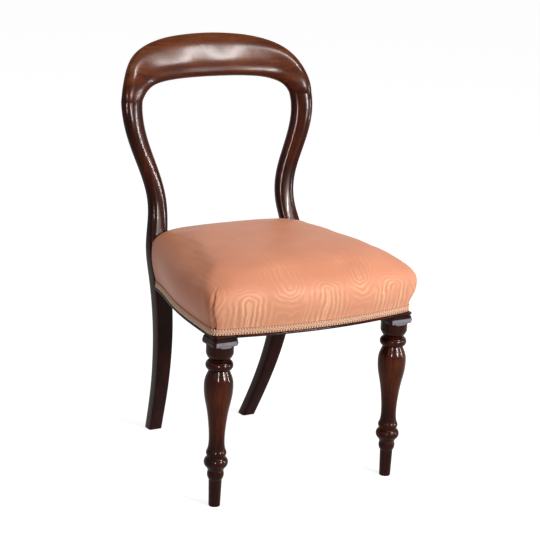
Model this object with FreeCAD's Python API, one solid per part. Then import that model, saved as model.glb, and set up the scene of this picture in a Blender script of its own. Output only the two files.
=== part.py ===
import FreeCAD, Part
import math
import os

V = FreeCAD.Vector

# Balloon back dining chair: mahogany frame, turned front legs, swept back legs
# and an overstuffed sprung seat.  Millimetres, +Z up, +Y to the back.
# Everything is drawn about the line between the two front legs (y = 0) and moved
# back to the middle of the chair at the end.

# Front legs: turned, with a square block on top.  The rises go up from piece to piece
# of the turning, which is stretched to reach from the floor to the square collar.
leg_spacing = 410.0           # between the axes of the front legs
foot_radius = 11.2
taper_length = 55.0           # tapered toe below the ankle bead
taper_top_radius = 13.4
ankle_bead_rise = 13.0
ankle_bead_radius = 17.0
lower_ring_rise = 26.5
lower_ring_radius = 24.5
upper_bead_rise = 18.5
upper_bead_radius = 20.7
waist_rise = 23.0
waist_radius = 16.1
vase_rise = 117.0             # up to the fat part of the vase
vase_radius = 29.4
collar_ring_rise = 45.0
collar_ring_radius = 27.8
cup_bottom_rise = 11.5
cup_height = 31.5
cup_radius = 27.7
tablet_gap = 2.0              # top of the square collar to the foot of the rails
tablet_height = 14.0
tablet_half_width = 28.3      # square collar at its widest arris
tablet_corner_cut = 5.0
leg_groove_height = 3.5
leg_groove_half_width = 24.5
leg_bead_height = 4.5
leg_bead_half_width = 27.5
block_inside = 22.0           # leg axis to the inner faces of the block

# Seat rails
rail_bottom_height = 357.0
rail_height = 42.0
front_bow = 28.0              # how far the front rail swells forward
front_corner_width = 231.0    # chair middle to the front corner of the frame
front_corner_back = -16.0     # how far that corner lies behind the leg axis
rear_corner_width = 175.5
rail_corner_round = 9.0
front_rail_inside = 0.0       # flat inner face of the front rail behind the leg axis
side_rail_front_inside = 201.0
side_rail_rear_inside = 151.0
back_rail_thickness = 26.0
back_rail_rear = 368.0        # rear face of the back rail
post_housing = 1.5            # least depth that a rail is let into a back post
tenon_thickness = 10.0
tenon_length = 20.0
tenon_shoulder = 4.0          # shoulder above and below a tenon
back_tenon_length = 11.0
front_tenon_back = -8.0       # middle of the front rail's tenons behind the leg axis
side_tenon_front_out = 213.0  # middle of a side rail's tenon at the front leg
side_tenon_rear_out = 164.0   # and at the back post
joint_clearance = 0.1         # glue line on the cheeks of a tenon or round a dowel
mortise_end_gap = 1.0         # glue room past the end of a tenon or a dowel

# Shape of the side of the frame seen from above: behind the leg axis, and the share of
# the way from the front corner's width to the rear corner's
side_line = [
    (-16.0, 0.0),
    (60.0, 0.081),
    (120.0, 0.189),
    (180.0, 0.351),
    (240.0, 0.613),
    (290.0, 0.838),
    (345.0, 0.964),
    (375.0, 1.0),
]

# Back post and leg in one sawn piece, right side, from the floor to the crest joint:
# (height, out, back, half width, half depth, toe-in degrees, front and back squareness)
post_pattern = [
    (0.0, 119.3, 451.8, 15.8, 15.6, 0.0, 0.84, 0.62),
    (60.0, 126.6, 423.9, 16.2, 15.9, 0.0, 0.84, 0.62),
    (120.0, 133.4, 398.8, 16.7, 16.4, 0.0, 0.84, 0.64),
    (180.0, 139.9, 379.4, 17.5, 17.2, 0.0, 0.84, 0.66),
    (250.0, 146.8, 364.4, 18.5, 18.0, 0.0, 0.84, 0.68),
    (320.0, 154.7, 356.2, 19.5, 18.5, 0.0, 0.84, 0.70),
    (385.0, 162.6, 355.4, 20.8, 18.4, 0.0, 0.84, 0.74),
    (440.0, 167.0, 361.0, 21.8, 17.2, 1.0, 0.78, 0.72),
    (472.0, 163.6, 368.8, 21.6, 15.8, 3.0, 0.66, 0.68),
    (500.0, 158.4, 377.6, 21.2, 14.6, 6.0, 0.58, 0.66),
    (540.0, 156.4, 388.0, 20.8, 14.0, 10.0, 0.54, 0.62),
    (580.0, 164.0, 395.4, 21.2, 14.0, 13.0, 0.54, 0.62),
    (620.0, 178.2, 399.7, 22.0, 14.0, 16.0, 0.54, 0.62),
    (660.0, 193.2, 403.2, 22.7, 14.0, 18.0, 0.54, 0.62),
    (700.0, 203.8, 407.9, 23.2, 14.0, 18.0, 0.54, 0.62),
    (748.0, 205.2, 418.4, 25.0, 14.2, 16.0, 0.54, 0.62),
]

# Crest rail, right half, from the joint to the middle:
# (height, out, back, climb degrees, toe-in degrees, lean degrees, half face, half thickness)
crest_pattern = [
    (748.0, 205.2, 418.4, 0.0, 16.0, 0.0, 25.0, 14.2),
    (779.5, 193.6, 426.4, 28.0, 14.0, 8.0, 29.2, 14.4),
    (807.0, 168.0, 443.6, 55.0, 9.0, 21.0, 37.8, 14.8),
    (824.6, 120.0, 458.4, 78.0, 4.0, 30.0, 44.8, 15.0),
    (831.2, 62.0, 466.0, 86.0, 2.0, 32.0, 48.4, 15.0),
    (833.2, 0.0, 467.0, 90.0, 0.0, 32.4, 49.6, 15.0),
]
crest_front_squareness = 0.54
crest_back_squareness = 0.62

# Dowels between the crest rail and the posts
dowel_radius = 4.0
dowel_length = 36.0
dowel_spacing = 20.0

# Polished bead along the foot of the front and side rails
rail_bead_rise = 1.5          # foot of the rail to the foot of the bead
rail_bead_height = 5.0
rail_bead_reach = 5.0

# Corner blocks and their screws
corner_block_height = 30.0
corner_block_drop = 6.0       # top of a block below the top of the rails
front_block_span = (118.0, 165.0)    # along the front rail, out from the middle
front_block_reach = (45.0, 90.0)     # along the side rail, from the front rail's inner face
rear_block_span = (88.0, 128.0)
rear_block_reach = (28.0, 74.0)      # from the back rail's inner face
screw_radius = 2.2
screw_head_radius = 4.4
screw_head_height = 2.6
screw_length = 40.0
screw_places = (0.2, 0.8)     # shares of the long face of a block

# Webbing under the seat
webbing_width = 50.0
webbing_thickness = 1.5
webbing_landing = 17.0        # how much of a strip lies on a rail
webbing_long_places = [-92.0, 0.0, 92.0]
webbing_cross_places = [82.0, 166.0, 250.0]
tack_shank_radius = 0.9
tack_head_radius = 3.2
tack_head_height = 0.8
tack_length = 11.0
tacks_per_end = 3

# Hourglass springs standing on the webbing
spring_base_radius = 36.0
spring_waist_radius = 23.0
spring_wire_radius = 1.7
spring_turns = 5
spring_height = 74.0
spring_end_flatness = 0.6     # how much slower the end turns climb

# Hessian over the springs
canvas_thickness = 1.2
canvas_flange = 12.0          # how far the hessian lies on the rails
canvas_foot = (4.0, 336.0, 196.0, 144.0)     # front, rear, half width in front, at the rear
canvas_top = (28.0, 312.0, 168.0, 138.0)

# Seat upholstery: fabric cover, cotton wadding, hair stuffing
cover_thickness = 1.2
wadding_thickness = 6.0
cover_post_gap = 0.4          # between the cover and the back posts
layer_gap = 0.3               # between curved or soft layers of different pieces

# Side shape of the seat from the top edge of the braid: front height, rear height, bulge,
# corner round and share of the plan size; the sides draw in at the braid, the top is crowned
seat_levels = [
    (-13.5, -13.5, 0.0, 9.0, 1.0),
    (-7.0, -7.0, 0.0, 9.0, 1.0),
    (0.0, 0.0, 0.1, 9.2, 1.0),
    (7.0, 7.0, 2.6, 11.0, 1.0),
    (16.0, 16.0, 7.2, 12.5, 1.0),
    (34.0, 36.0, 14.0, 14.0, 1.0),
    (55.0, 62.0, 17.5, 16.0, 1.0),
    (73.0, 88.0, 11.5, 22.0, 1.0),
    (84.0, 103.0, 2.0, 30.0, 0.97),
    (93.0, 111.5, 0.0, 36.0, 0.885),
    (101.5, 115.5, 0.0, 42.0, 0.73),
    (109.0, 117.5, 0.0, 46.0, 0.5),
    (113.0, 118.2, 0.0, 46.0, 0.26),
]
seat_roll_rise = 73.0         # front height at which a layer is drawn in from above as well
crown_middle = 165.0          # middle of the crown behind the leg axis
rear_bulge_share = 0.35       # bulge at the back against the front and sides
side_bulge_fade = 0.55        # bulge of a side where it meets the back post
side_fade_start = 250.0       # behind the leg axis

# Gimp braid glued over the lower edge of the cover
gimp_rise = 7.0               # foot of the rails to the foot of the braid
gimp_height = 13.5
gimp_thickness = 1.7

leg_out = leg_spacing / 2
rail_top_height = rail_bottom_height + rail_height
gimp_bottom_height = rail_bottom_height + gimp_rise
gimp_top_height = gimp_bottom_height + gimp_height
front_radius = (front_corner_width**2 + front_bow**2) / (2 * front_bow)
front_middle = front_corner_back - front_bow
tablet_top_height = rail_bottom_height - tablet_gap
tablet_bottom_height = tablet_top_height - tablet_height
turning_rises = [
    taper_length, ankle_bead_rise, lower_ring_rise, upper_bead_rise, waist_rise,
    vase_rise, collar_ring_rise, cup_bottom_rise, cup_height,
]
turning_stretch = tablet_bottom_height / sum(turning_rises)
leg_groove_top = tablet_top_height + leg_groove_height
leg_bead_top = leg_groove_top + leg_bead_height
post_room_top = gimp_top_height + seat_levels[-1][1] + 12
canvas_under_height = rail_bottom_height + spring_height + 2 * layer_gap


def blend(rows, at, column):
    """Smooth value of one column of a pattern at a given first-column place."""
    places = [row[0] for row in rows]
    values = [row[column] for row in rows]
    i = max(0, min(len(rows) - 2, sum(1 for p in places[1:-1] if p <= at)))

    def slope(k):
        low, high = max(0, k - 1), min(len(rows) - 1, k + 1)
        return (values[high] - values[low]) / (places[high] - places[low])

    span = places[i + 1] - places[i]
    t = (at - places[i]) / span
    rise = values[i + 1] - values[i]
    start, end = slope(i) * span, slope(i + 1) * span
    return values[i] + t * start + t**2 * (3 * rise - 2 * start - end) + t**3 * (start + end - 2 * rise)


def mirrored(shape):
    return shape.mirror(V(0, 0, 0), V(1, 0, 0))


def box(x0, x1, y0, y1, z0, z1):
    return Part.makeBox(x1 - x0, y1 - y0, z1 - z0, V(x0, y0, z0))


def only_solid(shape):
    return max(shape.Solids, key=lambda solid: solid.Volume)


def arc(a, b, c):
    return Part.Arc(a, b, c).toShape()


def line(a, b):
    return Part.makeLine(a, b)


# Smooth skins: every section is a closed curve drawn from the same number of control
# points, and the skin passes through all of the sections

def closed_curve(poles):
    curve = Part.BSplineCurve()
    count = len(poles)
    curve.buildFromPolesMultsKnots(poles, [1] * (count + 1), list(range(count + 1)), True, 3)
    return Part.Wire([curve.toShape()])


def skin_face(sections):
    """Surface through a list of sections, and the wires of its first and last section."""
    places = [0.0]
    for near, far in zip(sections, sections[1:]):
        steps = [(b - a).Length for a, b in zip(near, far)]
        places.append(places[-1] + sum(steps) / len(steps))
    lines = []
    for k in range(len(sections[0])):
        curve = Part.BSplineCurve()
        curve.interpolate(Points=[section[k] for section in sections], Parameters=places)
        lines.append(curve)
    first = lines[0]
    count = len(lines)
    surface = Part.BSplineSurface()
    surface.buildFromPolesMultsKnots(
        [curve.getPoles() for curve in lines],
        [1] * (count + 1), first.getMultiplicities(), list(range(count + 1)), first.getKnots(),
        True, False, 3, first.Degree,
    )
    face = surface.toShape()
    rims = [edge for edge in face.Edges if edge.isClosed()]
    rims.sort(key=lambda edge: (edge.CenterOfMass - sum(sections[0], V()) / count).Length)
    return face, Part.Wire([rims[0]]), Part.Wire([rims[1]])


def sewn(faces):
    shell = Part.makeShell(faces)
    shell.sewShape()
    solid = Part.makeSolid(shell)
    if solid.Volume < 0:
        solid.reverse()
    return solid


def skin(sections):
    """Closed solid through a list of sections, flat at both ends."""
    face, first, last = skin_face(sections)
    return sewn([face, Part.Face(first), Part.Face(last)])


def cup(outer, inner):
    """Layer between two skins that share the plane of their first sections."""
    outer_face, outer_foot, outer_top = skin_face(outer)
    inner_face, inner_foot, inner_top = skin_face(inner)
    rim = Part.Face(outer_foot).cut(Part.Face(inner_foot)).Faces[0]
    return sewn([outer_face, inner_face, Part.Face(outer_top), Part.Face(inner_top), rim])


def member_section(centre, across, front, half_across, half_front, front_square, back_square):
    """Rounded section of a wooden member: squareness near 1 is square, near 0.43 an oval."""
    pattern = [
        (1, 0), (1, front_square), (front_square, 1),
        (0, 1), (-front_square, 1), (-1, front_square),
        (-1, 0), (-1, -back_square), (-back_square, -1),
        (0, -1), (back_square, -1), (1, -back_square),
    ]
    return [centre + across * (u * half_across) + front * (v * half_front) for u, v in pattern]


def post_body():
    sections = []
    for height, out, back, half_width, half_depth, toe, front_square, back_square in post_pattern:
        toe = math.radians(toe)
        across = V(math.cos(toe), -math.sin(toe), 0)
        front = V(-math.sin(toe), -math.cos(toe), 0)
        centre = V(out, back, height)
        sections.append(
            member_section(centre, across, front, half_width, half_depth, front_square, back_square)
        )
    return skin(sections)


def crest_section(row, side):
    """Section of the crest; side is 1 on the right and -1 on the left."""
    height, out, back, climb, toe, lean, half_face, half_thick = row
    climb, toe, lean = math.radians(climb), math.radians(toe), math.radians(lean)
    outward = V(math.cos(climb) * math.cos(toe), -math.cos(climb) * math.sin(toe), math.sin(climb))
    forward = V(-math.sin(toe), -math.cos(toe), 0)
    across = outward * math.cos(lean) - forward * math.sin(lean)
    front = forward * math.cos(lean) + outward * math.sin(lean)
    centre, across, front = (V(v.x * side, v.y, v.z) for v in (V(out, back, height), across, front))
    return member_section(
        centre, across, front, half_face, half_thick, crest_front_squareness, crest_back_squareness
    )


def crest_body():
    right = [crest_section(row, 1) for row in crest_pattern]
    left = [crest_section(row, -1) for row in crest_pattern[-2::-1]]
    return skin(right + left)


# Turned front leg

def turned_body():
    """The turning, drawn as half of its outline and spun about the leg's axis."""
    def at(height, radius):
        return V(radius, 0, height)

    def swell(low, middle, high):
        return arc(at(*low), at(*middle), at(*high))

    heights = [sum(turning_rises[:k + 1]) * turning_stretch for k in range(len(turning_rises) - 1)]
    (taper_top_height, ankle_bead_height, lower_ring_height, upper_bead_height, waist_height,
     vase_height, collar_ring_height, cup_bottom_height) = heights
    ankle_low = (taper_top_height + 2, taper_top_radius)
    ankle_high = (ankle_bead_height + 8, ankle_bead_radius - 1.4)
    ring_low = (lower_ring_height - 11.5, lower_ring_radius - 5.7)
    ring_high = (lower_ring_height + 10, lower_ring_radius - 5.4)
    bead_low = (upper_bead_height - 5.5, upper_bead_radius - 2)
    bead_high = (upper_bead_height + 6.5, upper_bead_radius - 1.8)
    collar_low = (collar_ring_height - 10.5, collar_ring_radius - 7.2)
    collar_high = (cup_bottom_height - 1.5, cup_radius - 7.8)
    cup_low = (cup_bottom_height, cup_radius - 7.8)
    cup_high = (cup_bottom_height + 13, cup_radius)
    edges = [
        line(at(0, 0), at(0, foot_radius)),
        line(at(0, foot_radius), at(1.2, foot_radius + 0.7)),
        line(at(1.2, foot_radius + 0.7), at(taper_top_height, taper_top_radius)),
        line(at(taper_top_height, taper_top_radius), at(*ankle_low)),
        swell(ankle_low, (ankle_bead_height - 1.5, ankle_bead_radius), ankle_high),
        line(at(*ankle_high), at(*ring_low)),
        swell(ring_low, (lower_ring_height, lower_ring_radius), ring_high),
        line(at(*ring_high), at(*bead_low)),
        swell(bead_low, (upper_bead_height, upper_bead_radius), bead_high),
    ]
    vase = Part.BSplineCurve()
    vase.interpolate([
        at(*bead_high),
        at(upper_bead_height + 12, waist_radius + 1.2),
        at(waist_height, waist_radius),
        at(waist_height + 36, waist_radius + 1.6),
        at((waist_height + vase_height) / 2 + 14, waist_radius + 6.8),
        at(vase_height - 24, vase_radius - 2.2),
        at(vase_height, vase_radius),
        at(vase_height + 18, vase_radius - 2.2),
        at(vase_height + 27, vase_radius - 5.8),
        at(*collar_low),
    ])
    edges += [
        vase.toShape(),
        swell(collar_low, (collar_ring_height, collar_ring_radius), collar_high),
        line(at(*collar_high), at(*cup_low)),
        swell(cup_low, (cup_bottom_height + 7, cup_radius - 2.4), cup_high),
        line(at(*cup_high), at(tablet_bottom_height, cup_radius)),
        line(at(tablet_bottom_height, cup_radius), at(tablet_bottom_height, 0)),
        line(at(tablet_bottom_height, 0), at(0, 0)),
    ]
    face = Part.Face(Part.Wire(edges))
    return face.revolve(V(0, 0, 0), V(0, 0, 1), 360)


def cut_square(half, height, corner_cut):
    """Square with its corners cut off, level at a height."""
    c = half - corner_cut
    corners = [(half, -c), (half, c), (c, half), (-c, half), (-half, c), (-half, -c), (-c, -half), (c, -half)]
    points = [V(x, y, height) for x, y in corners]
    return Part.makePolygon(points + points[:1])


def square_step(levels, corner_cut):
    return Part.makeLoft([cut_square(half, height, corner_cut) for height, half in levels], True, True)


def leg_top_mouldings():
    tablet = square_step([
        (tablet_bottom_height, cup_radius - 0.5),
        (tablet_bottom_height + 4.5, tablet_half_width),
        (tablet_top_height, tablet_half_width - 1.8),
    ], tablet_corner_cut)
    groove = square_step([
        (tablet_top_height, leg_groove_half_width),
        (leg_groove_top, leg_groove_half_width),
    ], tablet_corner_cut)
    bead = square_step([
        (leg_groove_top, leg_bead_half_width - 1.5),
        (leg_groove_top + leg_bead_height / 2, leg_bead_half_width),
        (leg_bead_top, leg_bead_half_width - 1.5),
    ], tablet_corner_cut)
    return tablet.fuse([groove, bead])


# Outline of the seat frame seen from above

def front_edge(out, bulge):
    """Place of the bowed front behind the leg axis at a distance from the middle."""
    return front_middle - bulge + front_radius - math.sqrt(front_radius**2 - out**2)


def side_edge(back, bulge):
    return front_corner_width + (rear_corner_width - front_corner_width) * blend(side_line, back, 1) + bulge


def bulge_left(back):
    """Share of the side's bulge that is left at a place near the back post."""
    past = max(0.0, min(1.0, (back - side_fade_start) / (back_rail_rear - side_fade_start)))
    return 1 - (1 - side_bulge_fade) * past


def side_inside(back):
    """Straight inner face of a side rail."""
    share = (back - block_inside) / (post_front(rail_bottom_height) - block_inside)
    return side_rail_front_inside + (side_rail_rear_inside - side_rail_front_inside) * share


def post_front(height):
    toe = math.radians(blend(post_pattern, height, 5))
    half_width, half_depth = blend(post_pattern, height, 3), blend(post_pattern, height, 4)
    return blend(post_pattern, height, 2) - half_depth * math.cos(toe) - half_width * math.sin(toe)


def post_inside(height):
    return blend(post_pattern, height, 1) - blend(post_pattern, height, 3)


def seat_outline(front_height, rear_height, offset=0.0, bulge=0.0,
                 corner_round=rail_corner_round, share=1.0):
    """Control points of the closed outline: bowed front, rounded corners, shaped sides."""
    rear = back_rail_rear + offset + bulge * rear_bulge_share
    full = offset + bulge
    corner_out = front_corner_width + full
    corner_back = front_edge(front_corner_width, full)
    near, far = corner_round, 2.2 * corner_round
    rear_out = side_edge(rear - near, offset + bulge * side_bulge_fade)
    right = [(out, front_edge(out, full)) for out in (60.0, 120.0, corner_out - far, corner_out - near)]
    right += [
        (side_edge(back, offset + bulge * bulge_left(back)), back)
        for back in (corner_back + near, corner_back + far, 90.0, 150.0, 205.0, 255.0, 300.0, 335.0)
    ]
    right += [(rear_out, rear - near), (rear_out - near, rear), (rear_out * 0.6, rear), (rear_out * 0.3, rear)]

    def place(out, back):
        tilt = (back - front_middle) / (back_rail_rear - front_middle)
        height = front_height + (rear_height - front_height) * tilt
        return V(out * share, crown_middle + (back - crown_middle) * share, height)

    around = [place(out, back) for out, back in right]
    back_again = [V(-p.x, p.y, p.z) for p in reversed(around)]
    return [place(0, front_edge(0, full))] + around + [place(0, rear)] + back_again


def prism(bottom, top, offset=0.0):
    """Upright block with the plan shape of the frame, grown by an offset."""
    poles = seat_outline(bottom, bottom, offset)
    return Part.Face(closed_curve(poles)).extrude(V(0, 0, top - bottom))


def ring(bottom, top, inner, outer):
    return prism(bottom, top, outer).cut(prism(bottom, top, inner))


def post_clearance(gap):
    """Room left at both rear corners for the back posts: everything behind their front
    faces and outside their inner faces."""
    sections = []
    above = (post_room_top - rail_top_height) / 3
    for height in [rail_bottom_height - 10] + [rail_top_height + above * k for k in range(4)]:
        inside, front = post_inside(height) - gap, post_front(height) - gap
        points = [V(inside, front, height), V(300, front, height), V(300, 480, height), V(inside, 480, height)]
        sections.append(Part.makePolygon(points + points[:1]))
    room = Part.makeLoft(sections, True, True)
    return [room, mirrored(room)]


# Wooden seat frame

def front_rail_body():
    half = leg_out - block_inside
    low, high = rail_bottom_height, rail_top_height
    body = prism(low, high).common(box(-half, half, -100, front_rail_inside, low, high))
    return body.fuse([front_tenon(), mirrored(front_tenon())])


def tenon_heights():
    return rail_bottom_height + tenon_shoulder, rail_top_height - tenon_shoulder


def front_tenon(slack=0.0, end_gap=0.0):
    start = leg_out - block_inside
    low, high = tenon_heights()
    half = tenon_thickness / 2 + slack
    return box(start, start + tenon_length + end_gap, front_tenon_back - half, front_tenon_back + half,
               low - slack, high + slack)


def side_tenon_front(slack=0.0, end_gap=0.0):
    low, high = tenon_heights()
    half = tenon_thickness / 2 + slack
    return box(side_tenon_front_out - half, side_tenon_front_out + half,
               block_inside - tenon_length - end_gap, block_inside, low - slack, high + slack)


def side_rail_end():
    """Plane where a side rail ends inside the housing in the back post."""
    return max(post_front(rail_bottom_height), post_front(rail_top_height)) + post_housing


def side_tenon_rear(slack=0.0, end_gap=0.0):
    low, high = tenon_heights()
    half = tenon_thickness / 2 + slack
    return box(side_tenon_rear_out - half, side_tenon_rear_out + half,
               side_rail_end(), side_rail_end() + tenon_length + end_gap, low - slack, high + slack)


def side_rail_body():
    low, high = rail_bottom_height, rail_top_height
    corners = [
        V(side_inside(block_inside), block_inside, low), V(300, block_inside, low),
        V(300, side_rail_end(), low), V(side_inside(side_rail_end()), side_rail_end(), low),
    ]
    plan = Part.Face(Part.makePolygon(corners + corners[:1])).extrude(V(0, 0, high - low))
    return prism(low, high).common(plan).fuse([side_tenon_front(), side_tenon_rear()])


def back_rail_end():
    return max(post_inside(rail_bottom_height), post_inside(rail_top_height)) + post_housing


def back_tenon(slack=0.0, end_gap=0.0):
    low, high = tenon_heights()
    middle = back_rail_rear - back_rail_thickness / 2
    half = tenon_thickness / 2 + slack
    start = back_rail_end()
    return box(start, start + back_tenon_length + end_gap, middle - half, middle + half,
               low - slack, high + slack)


def back_rail_body():
    end = back_rail_end()
    body = box(-end, end, back_rail_rear - back_rail_thickness, back_rail_rear,
               rail_bottom_height, rail_top_height)
    return body.fuse([back_tenon(), mirrored(back_tenon())])


def front_leg_body():
    """Right front leg: turning, square mouldings and the block the rails are let into."""
    place = V(leg_out, 0, 0)
    inside = leg_out - block_inside
    mouldings = leg_top_mouldings()
    mouldings.translate(place)
    far, low, high = 3 * tablet_half_width, tablet_top_height + tablet_gap / 2, rail_top_height
    above = box(inside - far, inside, -far, far, low, high)
    behind = box(inside - far, inside + far, block_inside, far, low, high)
    mouldings = mouldings.cut([above, behind])
    block = prism(leg_bead_top, rail_top_height).common(
        box(inside, 300, -100, block_inside, leg_bead_top, rail_top_height)
    )
    turning = turned_body()
    turning.translate(place)
    mortises = [front_tenon(joint_clearance, mortise_end_gap), side_tenon_front(joint_clearance, mortise_end_gap)]
    return only_solid(turning.fuse([mouldings, block]).cut(mortises))


def rail_bead_ring():
    """Half-round bead along the foot of the rails, before it is cut to lengths."""
    low = rail_bottom_height + rail_bead_rise
    sections = []
    for share, reach in ((0.0, 0.45), (0.18, 0.8), (0.5, 1.0), (0.82, 0.8), (1.0, 0.45)):
        height = low + rail_bead_height * share
        offset = rail_bead_reach * reach
        sections.append(seat_outline(height, height, offset))
    high = low + rail_bead_height
    return skin(sections).cut(prism(low - 1, high + 1, layer_gap))


def rail_beads():
    ring_bead = rail_bead_ring()
    inside = leg_out - block_inside
    low, high = rail_bottom_height, rail_top_height
    front = ring_bead.common(box(-inside, inside, -100, 0, low, high))
    side = ring_bead.common(box(100, 300, block_inside, post_front(low) - 1, low, high))
    return only_solid(front), only_solid(side)


# Corner blocks and screws

def block_plan(rail_back, way, span, reach):
    """Four corners of a block: two on the cross rail and two on the side rail."""
    near, far = (rail_back + way * distance for distance in reach)
    return [
        V(span[0], rail_back, 0), V(span[1], rail_back, 0),
        V(side_inside(near), near, 0), V(side_inside(far), far, 0),
    ]


def block_plans():
    rear_face = back_rail_rear - back_rail_thickness
    return {
        "front": block_plan(front_rail_inside, 1, front_block_span, front_block_reach),
        "rear": block_plan(rear_face, -1, rear_block_span, rear_block_reach),
    }


def corner_block(plan):
    base = rail_top_height - corner_block_drop - corner_block_height
    points = [p + V(0, 0, base) for p in plan]
    return Part.Face(Part.makePolygon(points + points[:1])).extrude(V(0, 0, corner_block_height))


def block_screws(plan, slack=0.0):
    """Round-head screws square to the long face of a block; with slack, their holes."""
    height = rail_top_height - corner_block_drop - corner_block_height / 2
    start, end = plan[0], plan[3]
    along = (end - start).normalize()
    inward = V(along.y, -along.x, 0)
    if inward.dot(plan[1] - start) < 0:
        inward = -inward
    screws = []
    for share in screw_places:
        seat = start + (end - start) * share + V(0, 0, height)
        length = screw_length + (mortise_end_gap if slack else 0)
        if slack:
            screws.append(Part.makeCylinder(screw_radius + slack, length, seat, inward))
            continue
        screw = headed_pin(screw_radius, length, screw_head_radius, screw_head_height)
        screw.Placement = FreeCAD.Placement(seat, FreeCAD.Rotation(V(0, 0, 1), inward))
        screws.append(screw)
    return screws


def headed_pin(radius, length, head_radius, head_height):
    """Pin along +Z with a low round head below its foot."""
    def at(out, up):
        return V(out, 0, up)

    crown = at(head_radius * 0.15, -head_height)
    shoulder, rim = at(head_radius * 0.76, -head_height * 0.68), at(head_radius, 0)
    corners = [rim, at(radius, 0), at(radius, length), at(0, length), at(0, -head_height), crown]
    edges = [line(a, b) for a, b in zip(corners, corners[1:])] + [arc(crown, shoulder, rim)]
    return Part.Face(Part.Wire(edges)).revolve(V(0, 0, 0), V(0, 0, 1), 360)


# Webbing and tacks

def webbing_strip(start, end, place, crossings, above, lengthwise):
    """Flat strip woven over and under the strips it crosses."""
    up = rail_bottom_height - webbing_thickness
    down = up - webbing_thickness - layer_gap
    flat = webbing_width / 2 + 3
    points = [(start, up)]
    for crossing, is_above in zip(crossings, above):
        level = up if is_above else down
        points += [(crossing - flat, level), (crossing + flat, level)]
    points.append((end, up))
    upper = [(s, z + webbing_thickness) for s, z in reversed(points)]
    side = place - webbing_width / 2
    if lengthwise:
        outline = [V(side, s, z) for s, z in points + upper]
        across = V(webbing_width, 0, 0)
    else:
        outline = [V(s, side, z) for s, z in points + upper]
        across = V(0, webbing_width, 0)
    return Part.Face(Part.makePolygon(outline + outline[:1])).extrude(across)


def webbing():
    """Woven strips by name and the places of their tacks."""
    strips = {}
    tacks = []
    spread = [(k - (tacks_per_end - 1) / 2) * webbing_width / (tacks_per_end + 0.5) for k in range(tacks_per_end)]
    front_end = front_rail_inside - webbing_landing
    rear_end = back_rail_rear - back_rail_thickness + webbing_landing
    inset = webbing_landing / 2
    for i, (name, place) in enumerate(zip(("left", "middle", "right"), webbing_long_places)):
        above = [(i + j) % 2 == 0 for j in range(len(webbing_cross_places))]
        strips["webbing_long_" + name] = webbing_strip(
            front_end, rear_end, place, webbing_cross_places, above, True
        )
        tacks += [(place + s, back) for back in (front_end + inset, rear_end - inset) for s in spread]
    for j, (name, place) in enumerate(zip(("front", "middle", "rear"), webbing_cross_places)):
        above = [(i + j) % 2 == 1 for i in range(len(webbing_long_places))]
        reach = side_inside(place) + webbing_landing
        strips["webbing_cross_" + name] = webbing_strip(-reach, reach, place, webbing_long_places, above, False)
        tacks += [(side * (reach - inset), place + s) for side in (-1, 1) for s in spread]
    return strips, tacks


def tack(out, back, slack=0.0):
    """Upholstery tack driven up through the webbing; with slack, its hole."""
    face = rail_bottom_height - webbing_thickness
    if slack:
        return Part.makeCylinder(tack_shank_radius + slack, tack_length + mortise_end_gap, V(out, back, face - 1))
    pin = headed_pin(tack_shank_radius, tack_length - tack_head_height, tack_head_radius, tack_head_height)
    pin.translate(V(out, back, face))
    return pin


# Springs

def spring_point(turn):
    """Point and direction of the coil's centre line after a number of turns."""
    share = turn / spring_turns
    angle = 2 * math.pi * turn
    waist = (1 + math.cos(2 * math.pi * share)) / 2
    radius = spring_waist_radius + (spring_base_radius - spring_waist_radius) * waist
    rise = spring_height - 2 * spring_wire_radius
    climb = share - spring_end_flatness * math.sin(2 * math.pi * share) / (2 * math.pi)
    point = V(radius * math.cos(angle), radius * math.sin(angle), spring_wire_radius + rise * climb)
    radius_rate = -(spring_base_radius - spring_waist_radius) * math.pi * math.sin(2 * math.pi * share) / spring_turns
    climb_rate = rise * (1 - spring_end_flatness * math.cos(2 * math.pi * share)) / spring_turns
    direction = V(
        radius_rate * math.cos(angle) - radius * 2 * math.pi * math.sin(angle),
        radius_rate * math.sin(angle) + radius * 2 * math.pi * math.cos(angle),
        climb_rate,
    )
    return point, direction.normalize()


def arc_pair(start, start_way, end, end_way):
    """Two arcs that leave along one direction and arrive along the other."""
    span = end - start
    a = 2 * (1 - start_way.dot(end_way))
    b = 2 * span.dot(start_way + end_way)
    c = -span.dot(span)
    reach = (-b + math.sqrt(b * b - 4 * a * c)) / (2 * a)
    first, second = start + start_way * reach, end - end_way * reach
    joint = (first + second) / 2

    def bend(near, corner, far):
        leg = (corner - near).Length
        half = (far - near).Length / 2
        depth = math.sqrt(leg * leg - half * half)
        radius = half * leg / depth
        middle = (near + far) / 2
        to_corner = (corner - middle).normalize()
        sagitta = radius - math.sqrt(radius * radius - half * half)
        return arc(near, middle + to_corner * sagitta, far)

    return [bend(start, first, joint), bend(joint, second, end)]


def spring_body():
    steps = spring_turns * 4
    edges = []
    for k in range(steps):
        edges += arc_pair(*spring_point(k / 4), *spring_point((k + 1) / 4))
    start, way = spring_point(0)
    wire_face = Part.Wire([Part.Circle(start, way, spring_wire_radius).toShape()])
    return Part.Wire(edges).makePipeShell([wire_face], True, False)


def spring_gap():
    """Least room between turns of the coil, from points along it."""
    points = [spring_point(k / 24)[0] for k in range(spring_turns * 24 + 1)]
    pairs = ((p - q).Length for i, p in enumerate(points) for q in points[i + 12:])
    return min(pairs) - 2 * spring_wire_radius


def spring_places():
    left, middle, right = webbing_long_places
    front, centre, rear = webbing_cross_places
    return {
        "front_left": (left, front), "front_right": (right, front), "middle": (middle, centre),
        "rear_left": (left, rear), "rear_right": (right, rear),
    }


# Hessian over the springs

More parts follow.
